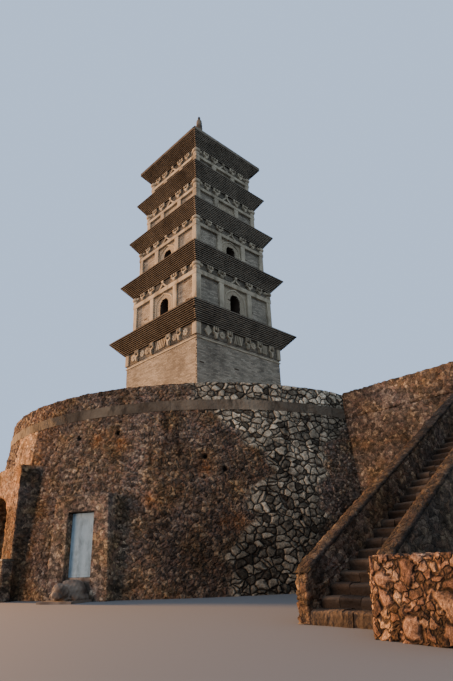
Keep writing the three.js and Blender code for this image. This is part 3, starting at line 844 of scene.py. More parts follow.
def roundedBar(low, high, counts, power, along):
    # a bar with a superellipse section |a|^p + |b|^p = 1; low and high are (across, out, up)
    low, high = np.array(low), np.array(high)
    across = [axis for axis in range(3) if axis != along]

    def place(u, v, w):
        cube = 2 * np.stack([u, v, w], axis=1) - 1
        a, b = cube[:, across[0]], cube[:, across[1]]
        size = (np.abs(a) ** power + np.abs(b) ** power) ** (1 / power)
        pull = np.maximum(np.abs(a), np.abs(b)) / np.maximum(size, 1e-9)
        cube[:, across[0]] = a * pull
        cube[:, across[1]] = b * pull
        where = (low + high) / 2 + (high - low) / 2 * cube
        return where[:, 0], -where[:, 1], where[:, 2]

    return latticeShell(counts, place)


def layPosts(storey, look):
    # on each face a corner post, two middle posts, and a lintel
    wall, offset, half = storey["wall"], postOffsets[storey["number"]], look["width"] / 2
    inner, face, reach = wall - look["inset"], wall + look["proud"], wall + look["lintelProud"]
    foot, top = storey["foot"] - look["below"], storey["lintelTop"]
    head = top - lintelDepth[storey["number"]] + look["lap"]
    bars = [
        ((-face, face - look["width"], foot), (-face + look["width"], face, head), (6, 6, 12), 2),
        ((-offset - half, inner, foot), (-offset + half, face, head), (6, 4, 12), 2),
        ((offset - half, inner, foot), (offset + half, face, head), (6, 4, 12), 2),
        ((-reach, inner, head - look["lap"]), (reach - look["lintelCut"], reach, top), (40, 4, 4), 0),
    ]
    return [roundedBar(low, high, counts, look["rounding"], along) for low, high, counts, along in bars]


def archHood(storey, arch, look):
    # a band along an ogee: up the jamb, then a Bezier curve to the tip; its section is crowned,
    # 1 - (2v - 1)^2 / 2
    reach = arch["half"] + look["aside"]
    spring = arch["crown"] - arch["half"] * look["spring"]
    foot = arch["sill"] - look["below"]
    neck = [look["neck"][0], arch["tip"] - look["neck"][1]]
    corners = np.array([[reach, spring], [reach, spring + look["climb"]], neck, [0, arch["tip"]]])

    def place(u, v, w):
        t = np.abs(2 * u - 1)                      # 1 at the feet, 0 at the tip
        jamb = t > look["curve"]
        k = np.clip((look["curve"] - t) / look["curve"], 0, 1)
        shares = ((1 - k) ** 3, 3 * k * (1 - k) ** 2, 3 * k ** 2 * (1 - k), k ** 3)
        curve = sum(corner * share[:, None] for corner, share in zip(corners, shares))
        x = np.where(jamb, reach, curve[:, 0])
        z = np.where(jamb, spring - (spring - foot) * (t - look["curve"]) / look["jamb"], curve[:, 1])
        band = (v - 0.5) * look["width"]
        shrink = np.where(jamb, 1.0, 1 - look["taper"] * k)
        crown = look["proud"] * (1 - look["crowned"] * (2 * v - 1) ** 2)
        out = storey["wall"] + crown * w - look["inset"] * (1 - w)
        return np.sign(2 * u - 1) * (x + band * shrink), -out, z + np.where(jamb, 0, band * k)

    return latticeShell((48, 4, 2), place)


for storey in storeys[1:]:
    number = storey["number"]
    shells = onFourSides(layPosts(storey, postwork))
    if number in arches:
        shells += onFourSides([archHood(storey, arches[number], hood)])
    posts = joinShells(shells)
    x, y, z = posts[0].T
    blotch = 0.5 + 0.2 * np.sin(x * 5.1) * np.sin(y * 4.3 + 1) + 0.15 * np.sin(z * 3)
    makePiece(f"posts_and_lintel_storey_{number}", posts, limedBrick,
              [f"storey_{number}_posts_and_lintel"], {"tone": blotch})

low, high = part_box("storey_1_string_course")
string = joinShells(onFourSides([roundedBar(
    (-high.x, storeys[0]["wall"] - postwork["stringInset"], low.z),
    (high.x - postwork["stringCut"], high.x, high.z), (60, 3, 3), postwork["stringRounding"], 0,
)]))
makePiece("string_course_storey_1", string, limedBrick, ["storey_1_string_course"],
          {"tone": np.full(len(string[0]), 0.6)})
print("pagoda: posts and lintels made")

# Bracket sets of the friezes, cut from brick

bracketwork = {
    "plateProud": 0.036,
    "armProud": 0.120,
    "blockProud": 0.153,
    "armWidth": 0.47,
    "blockWidth": 0.17,
    "smallWidth": 0.120,
    "blockShare": 0.36,   # heights as shares of the band
    "armShare": 0.66,
    "braceReach": 0.33,
    "braceHead": 0.72,
    "cornerReach": 0.235,
    "cornerPost": 0.30,
    "flowerRadius": 0.165,
    "diamondHalf": 0.21,
    "betweenScale": 0.8,  # the sets between posts are smaller
}


def taperedBlock(middle, width, back, front, bottom, top):
    # a cap block: two thirds wide at its foot, curving out to its full width at 0.45 of its height
    def place(u, v, w):
        spread = smoothStep(w / 0.45)
        x = middle + (u - 0.5) * width * (0.66 + 0.34 * spread)
        out = back + (front - back) * v * (0.80 + 0.20 * spread)
        return x, -out, between(bottom, top, w)

    return latticeShell((2, 2, 5), place)


def bowArm(middle, width, back, front, bottom, top):
    # an arm bent upwards: both edges rise towards its ends as t^2, and it thins to its tips
    def place(u, v, w):
        t = 2 * u - 1
        rise = 0.55 * (top - bottom) * t ** 2
        thick = (top - bottom) * (0.50 - 0.14 * np.abs(t))
        return middle + t * width / 2, -between(back, front, v), bottom + rise + thick * w

    return latticeShell((14, 2, 2), place)


def braceLeg(middle, side, reach, thickness, back, front, bottom, top):
    # one leg of an inverted V, curved outwards towards its foot
    def place(u, v, w):
        run = reach * (1 - w) ** 1.35
        x = middle + side * (run + (u - 0.5) * thickness * (1.5 - 0.5 * w))
        return x, -between(back, front, v), between(bottom, top, w)

    return latticeShell((2, 2, 8), place)


def pillow(centre, radii, power, count=6):
    # a rounded block |x|^p + |y|^p + |z|^p = 1
    def place(u, v, w):
        cube = 2 * np.stack([u, v, w], axis=1) - 1
        cube = cube / (np.abs(cube) ** power).sum(axis=1, keepdims=True) ** (1 / power)
        where = np.array(centre) + np.array(radii) * cube
        return where[:, 0], where[:, 1], where[:, 2]

    return latticeShell((count, count, count), place)


def bracketSet(middle, out, bottom, top, look, scale=1.0):
    height = top - bottom
    back, arm, block = out + 0.01, out + look["armProud"], out + look["blockProud"]
    levels = [bottom + height * share for share in (0, look["blockShare"], look["armShare"], 1)]
    width, small = look["armWidth"] * scale, look["smallWidth"] * scale
    shells = [
        taperedBlock(middle, look["blockWidth"] * scale, back, block, levels[0], levels[1]),
        bowArm(middle, width, back, arm, levels[1] - 0.02 * height, levels[2]),
    ]
    for t in (-1, 0, 1):
        radii = (small / 2, (block - back) / 2, (levels[3] - levels[2]) * (0.62 if t else 0.50))
        where = (middle + t * (width - small) / 2, -(back + block) / 2, levels[3] - radii[2])
        shells.append(pillow(where, radii, 2.6, 3))
    return shells


def brace(middle, out, bottom, top, look):
    # an inverted V with a cap block on it
    head = bottom + (top - bottom) * look["braceHead"]
    back = out + 0.01
    shells = [
        braceLeg(middle, side, look["braceReach"] - 0.05, 0.085, back, out + 0.085, bottom, head)
        for side in (-1, 1)
    ]
    shells.append(taperedBlock(middle, 0.15, back, out + 0.12, head - 0.02, top))
    return shells


def slats(left, right, out, bottom, top, count=5, room=5.6):
    # strips slanted side by side; the whole width has room for a little more than their number
    wide, height = right - left, top - bottom
    shells = []
    for n in range(count):
        start = left + wide * (n + 0.1) / room

        def place(u, v, w, start=start):
            x = start + (u * 0.5 + w * 0.95) * wide / room
            return x, -(out + 0.005 + 0.05 * v), bottom + height * (0.12 + 0.76 * w)

        shells.append(latticeShell((1, 1, 4), place))
    return shells


def flower(middle, radius, out, bottom, top, petals=7):
    # a round boss with petals about it
    centre, petal, ring = (bottom + top) / 2, radius * 0.42, radius * 0.72
    shells = [pillow((middle, -out - 0.03, centre), (petal * 0.8, 0.05, petal * 0.8), 2.2, 3)]
    for turn in np.arange(petals) * 2 * math.pi / petals:
        place = (middle + ring * math.sin(turn), -out - 0.015, centre + ring * math.cos(turn))
        shells.append(pillow(place, (petal, 0.045, petal), 2.2, 3))
    return shells


def diamond(middle, half, out, bottom, top):
    # a flat rhomb, widest at half its height: the width is 1 - 0.9 |2w - 1| of the whole
    def place(u, v, w):
        spread = 1 - 0.9 * np.abs(2 * w - 1)
        return middle + (u - 0.5) * 2 * half * spread, -(out + 0.005 + 0.06 * v), between(bottom, top, w)

    return latticeShell((4, 1, 8), place)


def cornerHeads(wall, bottom, top, look):
    # a rounded head on a tapered foot, with a smaller head on each side
    height = top - bottom
    size = look["cornerReach"] - 0.04
    heads = [
        pillow((-wall + 0.02, -wall + 0.02, bottom + 0.24 * height), (0.15, 0.15, 0.26 * height), 4),
        pillow((-wall, -wall, bottom + 0.72 * height), (size, size, 0.28 * height), 2.6),
    ]
    along, beyond = -wall + 0.25, -wall - 0.04
    for centre, radii in (((along, beyond), (0.11, 0.09)), ((beyond, along), (0.09, 0.11))):
        heads.append(pillow((*centre, bottom + 0.70 * height), (*radii, 0.22 * height), 2.4))
    return heads


# what stands between the corners of the lowest frieze, in metres from the face's middle; sets have a
# scale, slats a start and an end
lowestFrieze = {
    "south": [
        ("diamond", -2.10), ("set", -1.66, 0.7), ("flower", -1.22), ("set", -0.80, 0.7),
        ("slats", -0.50, 0.10), ("set", 0.40, 0.7), ("flower", 0.80), ("set", 1.20, 0.7),
        ("slats", 1.42, 1.78), ("set", 2.04, 0.7),
    ],
    "west": [
        ("flower", -2.05), ("set", -1.68, 0.6), ("flower", -1.30), ("flower", -0.88), ("set", -0.46, 0.6),
        ("slats", -0.15, 0.62), ("set", 0.86, 0.6), ("flower", 1.25), ("set", 1.64, 0.6), ("flower", 2.02),
    ],
}


def lowestFace(side, wall, out, bottom, top, look):
    # the motifs, then a plain corner post
    shells = []
    for kind, *where in lowestFrieze[side]:
        if kind == "set":
            shells += bracketSet(where[0], out, bottom, top, look, where[1])
        elif kind == "slats":
            shells += slats(*where, out, bottom, top)
        elif kind == "flower":
            shells += flower(*where, look["flowerRadius"], out, bottom, top)
        else:
            shells.append(diamond(*where, look["diamondHalf"], out, bottom + 0.05, top - 0.05))
    edge, width = wall + look["blockProud"] / 2, look["cornerPost"]
    shells.append(roundedBar((-edge, edge - width, bottom), (-edge + width, edge, top), (4, 4, 4), 12, 2))
    return shells


def upperFace(wall, offset, out, bottom, top, look):
    # bracket sets over the posts and between them, a brace in the middle, and heads on the corner
    shells = []
    for side in (-1, 1):
        shells += bracketSet(side * offset, out, bottom, top, look)
        shells += bracketSet(side * (offset + wall) / 2, out, bottom, top, look, look["betweenScale"])
    return shells + brace(0, out, bottom, top, look) + cornerHeads(wall, bottom, top, look)


def layFrieze(storey, look):
    number, wall = storey["number"], storey["wall"]
    room = (wall + look["plateProud"], storey["band"], storey["corbel"], look)
    if number == 1:
        faces = [lowestFace(side, wall, *room) for side in ("south", "west")] * 2
    else:
        faces = [upperFace(wall, postOffsets[number], *room)] * 4
    shell = joinShells([turned(shell, quarter) for quarter, face in enumerate(faces) for shell in face])
    x, y, z = shell[0].T
    tone = 0.5 + 0.3 * np.sin(x * 7 + 2 * z) * np.sin(y * 6.1 + 1)
    makePiece(f"bracket_sets_storey_{number}", shell, limedBrick,
              [f"storey_{number}_bracket_band"], {"tone": tone})


for storey in storeys:
    layFrieze(storey, bracketwork)
print("pagoda: friezes made")

# Rubble of the terrace

terrace = {
    "footRadius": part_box("terrace_wall_north_east")[1].x,
    "headRadius": 8.430,
    "innerRadius": 7.350,
    "deckTop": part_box("terrace_deck")[1].z,
    "beamRadius": 8.447,
    "beamTop": 5.670,
    "parapetFoot": 8.414,
    "parapetHead": 8.365,
    "parapetInner": 7.900,
    "parapetTop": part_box("terrace_parapet_north_east")[1].z,
    "recessHalf": 0.760,
    "gateWest": 0.445,
    "gateEast": 0.705,
    "fineCell": 0.036,   # metres between points where the camera is near
    "cell": 0.070,
    "beamCell": 0.08,
}
paleEdge = {  # the patch of newer, pale masonry: height, and the azimuths between which it lies
    "height": [0.15, 0.8, 1.25, 1.65, 2.1, 2.75, 2.95, 3.4, 4.0, 4.4, 4.9, 5.3, 6.3],
    "from": [-128, -127, -125.5, -124, -123, -121.5, -120, -118, -118.5, -122, -127.5, -131, -134.5],
    "to": [-111, -110, -109.5, -108, -107, -106.5, -106.2, -105.5, -104, -101.5, -98, -95, -92],
}
# azimuth in degrees and height of each spot; runs have their lowest and highest point and their width
weepHoles = [(-160, 4.75), (-150, 4.75), (-131, 3.85), (-127, 3.45), (-112, 2.0), (-172, 2.4)]
rustSpots = [(-127.5, 1.95), (-125, 1.95), (-154.5, 4.6), (-142, 2.6), (-149, 4.4), (-131, 3.5)]
darkRuns = [
    (-142.5, 2.6, 5.2, 0.9), (-139.5, 3.0, 5.3, 1.2), (-136.5, 3.3, 5.2, 0.9), (-150, 0.0, 1.6, 2.5),
    (-118, 0.2, 3.0, 1.6), (-165, 3.2, 5.2, 1.0), (-113.5, 2.5, 5.0, 1.4),
]
spots = {"holeRadius": 0.05, "holeDepth": 0.12, "rustRadius": 0.22, "runStain": 0.8}

# parts of the wall that differ all over, from and over so many degrees of azimuth
paintedSunSide = {"paintedSun": 0.85, "from": -134, "over": 24}         # painted sunlight: lighter on the side that the sun falls on
sunnyEnd = {"from": -215, "over": 45}                     # where that painted sunlight fades out towards the north
paintedGlowSide = {"rustAndSunGlow": 0.4, "from": -163, "over": 8}         # painted warm glow of sunlight, in lichen colour, on the sunny side
beamGrime = {"wearAndPaintedLight": -0.36, "from": -134, "over": 14}     # the ring beam is blacker on the west
darkFoot = {"stainAndPaintedLight": 0.66, "from": -150, "over": 14, "low": 0.9, "rise": 2.6}    # damp climbing from below


def paleMask(azimuth, height):
    # 1 between the two edges of the patch at this height, 0 outside, over 2 degrees
    start = np.interp(height, paleEdge["height"], paleEdge["from"])
    stop = np.interp(height, paleEdge["height"], paleEdge["to"])
    wave = 1.2 * np.sin(height * 4.1) + 0.8 * np.sin(height * 9.7 + 1)
    return smoothStep((azimuth - start - wave) / 2 + 0.5) * smoothStep((stop - azimuth + wave) / 2 + 0.5)


def weathering(points):
    # masks on the round wall: pale patch, dark runs of water, rust, painted sunlight and its warm glow on the
    # sunny side, and the weep holes with painted shade in them
    azimuth = np.degrees(np.arctan2(points[:, 1], points[:, 0]))
    height = points[:, 2]
    metre = math.radians(1) * terrace["footRadius"]     # one degree, along the wall
    stainAndPaintedLight, rustAndSunGlow, hole = (np.zeros(len(points)) for _ in range(3))
    # a run wavers and fades in over 0.7 m and out over 0.5 m; a rust spot is a bell, exp(-r^2 / radius^2)
    for place, low, high, width in darkRuns:
        bend = place + 0.35 * np.sin(height * 3.3 + place)
        fade = smoothStep((height - low) / 0.7) * smoothStep((high - height) / 0.5 + 0.5)
        stainAndPaintedLight = np.maximum(stainAndPaintedLight, np.exp(-((azimuth - bend) / (width / 1.6)) ** 2) * fade)
    for place, level in rustSpots:
        far = ((azimuth - place) * metre) ** 2 + (height - level) ** 2
        rustAndSunGlow = np.maximum(rustAndSunGlow, np.exp(-far / spots["rustRadius"] ** 2))
    for place, level in weepHoles:
        far = np.hypot((azimuth - place) * metre, height - level)
        hole = np.maximum(hole, 1 - smoothStep((far - spots["holeRadius"]) / spots["holeRadius"]))
    west = np.where(azimuth > 90, azimuth - 360, azimuth)
    fading = smoothStep((west - sunnyEnd["from"]) / sunnyEnd["over"])
    # painted warm glow of sunlight on the sunny side
    paintedGlow = paintedGlowSide["rustAndSunGlow"] * smoothStep((paintedGlowSide["from"] - west) / paintedGlowSide["over"]) * fading
    # painted sunlight: stain is taken off on the sunny side
    paintedSun = paintedSunSide["paintedSun"] * smoothStep((paintedSunSide["from"] - west) / paintedSunSide["over"]) * fading
    foot = darkFoot["stainAndPaintedLight"] * smoothStep((azimuth - darkFoot["from"]) / darkFoot["over"])
    foot = foot * (1 - smoothStep((height - darkFoot["low"]) / darkFoot["rise"]))
    # weep holes are painted black, as the shade inside them
    stainAndPaintedLight = np.maximum(np.maximum(stainAndPaintedLight * spots["runStain"], foot) - paintedSun, hole)
    return {"pale": paleMask(azimuth, height), "stainAndPaintedLight": stainAndPaintedLight, "rustAndSunGlow": np.maximum(rustAndSunGlow, paintedGlow)}, hole


def stoneRelief(points, direction, masks, weight):
    # pale stones bulge to their middles and lie in or out of line; brown work is a crust of lumps and swells
    field = stoneField(points)
    pale = masks["pale"]
    edge, tone = field["stone"]
    laid = relief["paleBulge"] * (smoothStep(edge / stones["shoulder"]) - 0.75)
    laid = laid + relief["paleStep"] * (tone[:, 0] - 0.5)
    lumpEdge, lumpTone = field["lump"]
    crust = relief["brownBulge"] * (smoothStep(lumpEdge / lumps["shoulder"]) - 0.6)
    crust += relief["brownStep"] * (lumpTone[:, 1] - 0.5) + relief["brownSwell"] * (tone[:, 0] - 0.5)
    moved = points + direction * ((pale * laid + (1 - pale) * crust) * weight)[:, None]
    moved[:, 2] = np.maximum(moved[:, 2], 0)
    return moved


def plainMasks(points):
    return {key: np.zeros(len(points)) for key in ("pale", "stainAndPaintedLight", "rustAndSunGlow")}


def makeRubblePiece(name, shell, nodes=(), weight=0.7, laid=False, stainAndPaintedLight=0.0, rustAndSunGlow=0.0):
    # rubble away from the round wall, with relief along its own normals; laid work is of larger, rosy stones
    points, quads, triangles = shell
    masks = plainMasks(points)
    if laid:
        masks["pale"] += stoneField(points)["stone"][1][:, 2] > relief["palePick"]
    masks["stainAndPaintedLight"] += stainAndPaintedLight
    masks["rustAndSunGlow"] += rustAndSunGlow
    moved = stoneRelief(points, normalsOf(*shell), masks, weight)
    finish = pierStone if laid else rubbleStone
    return makePiece(name, (moved, quads, triangles), finish, nodes, masks, smooth=True)


def coneBand(limits, foot, head, inner, bottom, top, cell):
    # a quarter of the round wall: azimuth from u between two upright planes, radius falling with height;
    # limits gives each end as (azimuth, distance of the end plane from the axis)
    (start, startOff), (stop, stopOff) = limits

    def point(u, w, radius):
        first = start + np.degrees(np.arcsin(startOff / radius))
        last = stop - np.degrees(np.arcsin(stopOff / radius))
        azimuth = np.radians(between(first, last, u))
        return radius * np.cos(azimuth), radius * np.sin(azimuth), between(bottom, top, w)

    across = round(math.radians(stop - start) * foot / cell)
    upward = max(2, round((top - bottom) / cell))
    return facedShell(
        (across, upward),
        lambda u, w: point(u, w, between(foot, head, w)),
        lambda u, w: point(u, w, inner + 0 * u),
    )


def radialDirection(points, foot, head, bottom, top):
    # outward and square to the battered face
    flat = np.hypot(points[:, 0], points[:, 1])
    lean = (foot - head) / (top - bottom)
    direction = np.stack([points[:, 0] / flat, points[:, 1] / flat, np.full(len(points), lean)], axis=1)
    return direction / np.hypot(1, lean)


def makeBand(name, node, limits, spec, cell):
    # a quarter of the round rubble work: relief square to its face, sunken weep holes, an uneven top
    shell, front = coneBand(limits, *spec, cell)
    masks, hole = weathering(shell[0])
    direction = radialDirection(shell[0], *spec[:2], *spec[3:])
    moved = stoneRelief(shell[0], direction, masks, front)
    moved -= direction * (spots["holeDepth"] * hole * front)[:, None]
    x, y, z = shell[0].T
    dips = 0.012 * np.sin(x * 5) * np.sin(y * 7) - 0.012
    moved[:, 2] += dips * (z > terrace["parapetTop"] - 0.01)
    makePiece(name, (moved, *shell[1:]), rubbleStone, [node], masks)


def makeBeam(name, node, limits, spec, cell):
    # a quarter of the ring beam, worn in shallow waves
    shell, front = coneBand(limits, *spec, cell)
    azimuth = np.arctan2(shell[0][:, 1], shell[0][:, 0])
    worn = 0.012 * np.sin(azimuth * 61 + 9 * shell[0][:, 2]) * np.sin(azimuth * 23) - 0.008
    moved = shell[0] + radialDirection(shell[0], 1, 1, 0, 1) * (worn * front)[:, None]
    grime = beamGrime["wearAndPaintedLight"] * smoothStep((beamGrime["from"] - np.degrees(azimuth)) / beamGrime["over"])
    tone = 0.5 + 0.4 * np.sin(azimuth * 17) * np.sin(azimuth * 5.3)
    makePiece(name, (moved, *shell[1:]), cementRender, [node], {"tone": tone, "wearAndPaintedLight": grime})


wallSpec = (terrace["footRadius"], terrace["headRadius"], terrace["innerRadius"], 0, terrace["deckTop"])
beamSpec = (terrace["beamRadius"], terrace["beamRadius"], terrace["parapetInner"], terrace["deckTop"],
            terrace["beamTop"])
parapetSpec = (terrace["parapetFoot"], terrace["parapetHead"], terrace["parapetInner"], terrace["beamTop"],
               terrace["parapetTop"])
# each quarter's ends as (azimuth, distance of the end plane from the axis), for the wall and what is on it
atRecess = (180, terrace["recessHalf"])
atGateWest, atGateEast = (270, terrace["gateWest"]), (270, terrace["gateEast"])
quarters = {
    "north_east": (((0, 0), (90, 0)), ((0, 0), (90, 0))),
    "north_west": (((90, 0), atRecess), ((90, 0), (180, 0))),
    "south_west": ((atRecess, (270, 0)), ((180, 0), atGateWest)),
    "south_east": (((270, 0), (360, 0)), (atGateEast, (360, 0))),
}
for corner, (wallEnds, upperEnds) in quarters.items():
    cell = terrace["fineCell" if corner == "south_west" else "cell"]
    makeBand(f"rubble_terrace_{corner}", f"terrace_wall_{corner}", wallEnds, wallSpec, cell)
    makeBeam(f"ring_beam_{corner}", f"terrace_ring_beam_{corner}", upperEnds, beamSpec, terrace["beamCell"])
    makeBand(f"parapet_{corner}", f"terrace_parapet_{corner}", upperEnds, parapetSpec, cell)
print("pagoda: terrace made")

# Frames of rubble round an opening, in the opening's own axes: s across, o outwards, z up


def drumRadius(height):
    # radius of the battered wall at a height
    slope = (terrace["footRadius"] - terrace["headRadius"]) / terrace["deckTop"]
    return terrace["footRadius"] - slope * height


def drumFace(s, z):
    # how far out the round wall stands: sqrt(r^2 - s^2)
    return np.sqrt(np.maximum(drumRadius(z) ** 2 - s ** 2, 0))


def atAzimuth(azimuth, s, o, z):
    turn = math.radians(azimuth)
    return o * math.cos(turn) - s * math.sin(turn), o * math.sin(turn) + s * math.cos(turn), z


def placed(shell, azimuth):
    # a shell made as (s, o, z) put at its azimuth on the round wall
    return np.stack(atAzimuth(azimuth, *shell[0].T), axis=1), shell[1], shell[2]


def frameShell(inner, outer, front, counts, lap=0.08):
    # rings of points from the opening's outline to the outer outline, carried back into the round wall by
    # the lap
    def place(u, v, w):
        inside, outside = inner(u), outer(u)
        s, z = (between(inside[k], outside[k], v) for k in range(2))
        return s, between(front, drumFace(s, z) - lap, w), z

    return latticeShell(counts, place)


recess = {
    "azimuth": 180.0,
    "face": -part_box("recess_head")[0].x,
    "half": 0.760,
    "outerHalf": -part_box("recess_jamb_south")[0].y,
    "top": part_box("recess_head")[1].z,
    "sill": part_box("recess_low_wall")[1].z,
    "crown": 3.110,
    "backRadius": 8.250,
    "lowFace": 9.450,
    "lowHalf": 1.650,
    "coping": 0.080,
    "copingProud": 0.040,
    "lap": 0.02,           # how far the low wall runs into the surround
    "rounding": 8,
    "ledgeRounding": 12,
    "shadowLineTop": 2.85,       # painted shadow covers the front up to about here, painted sunlight lies above
    # painted shade on the sides, and the painted shadow low on the front
    "stainAndPaintedLight": 0.35,
    "paintedSun": 0.7,            # how much lighter the painted sunlight makes the front above that line
    # painted warm glow of sunlight on the front
    "rustAndSunGlow": 0.7,
    # painted light: the back of the recess made lighter
    "backPaintedLight": -0.65,
    "cell": 0.045,
}
recess["spring"] = recess["crown"] - recess["half"]


def archLine(u, reach):
    # up one jamb, round the head by rays from the middle of its half circle, and down the other jamb, a
    # third of the run each; reach(c, d) is the length of the ray with cosine c and sine d
    angle = np.pi * (1 - np.clip(3 * u - 1, 0, 1))
    c, d = np.cos(angle), np.sin(angle)
    head = recess["spring"] + reach(c, d) * d
    jamb = 3 * np.where(u < 0.5, u, 1 - u) * recess["spring"]
    return reach(c, d) * c, np.where((u < 1 / 3) | (u > 2 / 3), jamb, head)


def archOutline(u):
    return archLine(u, lambda c, d: recess["half"])


def archSurround(u):
    # the same run along the outer rectangle, where a ray ends at the side or at the top
    def reach(c, d):
        c, d = np.maximum(np.abs(c), 1e-9), np.maximum(d, 1e-9)
        return np.minimum(recess["outerHalf"] / c, (recess["top"] - recess["spring"]) / d)

    return archLine(u, reach)


def squareOutline(half, top, flare=0.0):
    # up one side, across the head and down the other in two, one and two fifths; flare widens the foot
    def outline(u):
        up = np.minimum(1, np.minimum(u, 1 - u) / 0.4)
        across = np.clip((u - 0.4) / 0.2, 0, 1) * 2 - 1
        wide = half + flare * (1 - up)
        return across * wide, up * top

    return outline


def bankShell(low, high, cell, bulge=None):
    # a box (s, o, z) divided into cells; bulge(s, o, z) may bend it
    low, high = np.array(low), np.array(high)
    counts = tuple(max(1, round(size / cell)) for size in high - low)

    def place(u, v, w):
        s, o, z = (between(low[k], high[k], t) for k, t in enumerate((u, v, w)))
        return bulge(s, o, z) if bulge else (s, o, z)

    return latticeShell(counts, place)


def buildRecess(spec):
    ring = frameShell(archOutline, archSurround, spec["face"], (132, 16, 12))
    # painted shade on the surround's sides and a painted shadow low on its front, below a curved line; above
    # it, painted sunlight and its warm glow
    aside, level = np.abs(ring[0][:, 0]), ring[0][:, 2]
    belowShadowLine = spec["shadowLineTop"] - 0.5 * (aside / spec["outerHalf"] - 0.75) ** 2 - level
    front = 1.0 * (aside < spec["outerHalf"] - 0.02)
    stainAndPaintedLight = spec["stainAndPaintedLight"] - spec["paintedSun"] * front * (1 - smoothStep(belowShadowLine / 0.2))
    makeRubblePiece("recess_surround", placed(ring, spec["azimuth"]),
                    ["recess_head", "recess_jamb_north", "recess_jamb_south"],
                    stainAndPaintedLight=stainAndPaintedLight, rustAndSunGlow=spec["rustAndSunGlow"] * front)
    half, sill, crown, cell = spec["half"] - 0.002, spec["sill"], spec["crown"], spec["cell"]
    inner, outer, deck = terrace["innerRadius"], terrace["footRadius"], terrace["deckTop"]

    def toDrum(s, o, z):
        # the outer side follows the round wall
        return s, between(inner, drumFace(s, z), (o - inner) / (outer - inner)), z

    def overArch(s, o, z):
        # the underside follows the arch
        arch = spec["spring"] + np.sqrt(np.maximum(spec["half"] ** 2 - s ** 2, 0))
        return toDrum(s, o, between(arch, deck, (z - crown) / (deck - crown)))

    blocks = [
        bankShell((-half, inner, 0), (half, outer, sill), 0.2, toDrum),
        bankShell((-half, inner, sill), (half, spec["backRadius"], crown), cell * 2.2),
        bankShell((-half, inner, crown), (half, outer, deck), cell * 1.6, overArch),
    ]
    # the back of the recess carries painted light: lighter, with the warm glow of sunlight
    makeRubblePiece("recess_back", placed(joinShells(blocks), spec["azimuth"]), ["terrace_wall_recess"],
                    stainAndPaintedLight=spec["backPaintedLight"], rustAndSunGlow=paintedGlowSide["rustAndSunGlow"])
    under = sill - spec["coping"]
    wide, near, far = spec["lowHalf"], spec["face"] - spec["lap"], spec["lowFace"]
    wall = bankShell((-wide, near, 0), (wide, far, under), cell)
    makeRubblePiece("recess_low_wall_stones", placed(wall, spec["azimuth"]), ["recess_low_wall"])
    wide, far = wide + spec["copingProud"], far + spec["copingProud"]
    bars = [
        roundedBar((-wide, near, under), (wide, far, sill), (40, 6, 3), spec["rounding"], 0),
        roundedBar((-half, spec["backRadius"], under), (half, spec["face"], sill), (20, 8, 3),
                   spec["ledgeRounding"], 0),
    ]
    caps = joinShells([(bar[0] * (1, -1, 1), bar[1][:, ::-1], bar[2]) for bar in bars])
    makePiece("recess_coping", placed(caps, spec["azimuth"]), cementRender, [],
              {"tone": 0.5 + 0.4 * np.sin(caps[0][:, 0] * 9)})


niche = {
    "azimuth": -154.0,
    "face": 9.250,
    "half": 0.445,
    "head": 2.350,
    "outerHalf": 0.890,
    "flare": 0.130,     # the surround widens to its foot
    "top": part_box("niche_surround")[1].z,
    "tabletHalf": 0.430,
    "tabletBack": 8.935,
    "tabletFront": 9.050,
    "tabletFoot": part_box("niche_tablet")[0].z,
    "tabletTop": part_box("niche_tablet")[1].z,
    "slabHalf": 0.540,
    "slabReach": 0.900,
    "slabTop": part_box("niche_slab")[1].z,
    "stainAndPaintedLight": -0.4,
    "shell": (0.400, 0.400, 0.350),    # radii of the tortoise's shell
    "shellReach": 0.180,
    "shellRise": 0.190,
    "headReach": 0.660,
    "seatHalf": 0.38,
    "seatReach": 0.05,
}


def tabletShell(half, back, front, foot, top, border=0.045, groove=0.010, soft=0.018, count=38):
    # a slab with softened edges and a fine groove that sets off its border
    def place(u, v, w):
        s, z = (2 * u - 1) * half, between(foot, top, w)
        inset = np.minimum(half - np.abs(s), np.minimum(z - foot, top - z))
        line = groove * np.exp(-((inset - border) / soft) ** 2)
        arris = groove * smoothStep(1 - inset / soft)
        return s, back + (front - line - arris - back) * v, z

    return latticeShell((count, 1, round(count * (top - foot) / (2 * half))), place)


def scutes(points, centre, radii):
    # raised plates on the shell: ridges fall where three waves at 60 degrees cancel
    local = (points - centre) / radii
    a, b = local[:, 0] * 4.2, local[:, 1] * 4.2
    waves = [np.cos(a * math.cos(t) + b * math.sin(t)) for t in (0, 2 * math.pi / 3, 4 * math.pi / 3)]
    plate = smoothStep((sum(waves) + 0.9) / 1.6)
    return (0.034 * plate - 0.020) * smoothStep((local[:, 2] + 0.1) / 0.3)


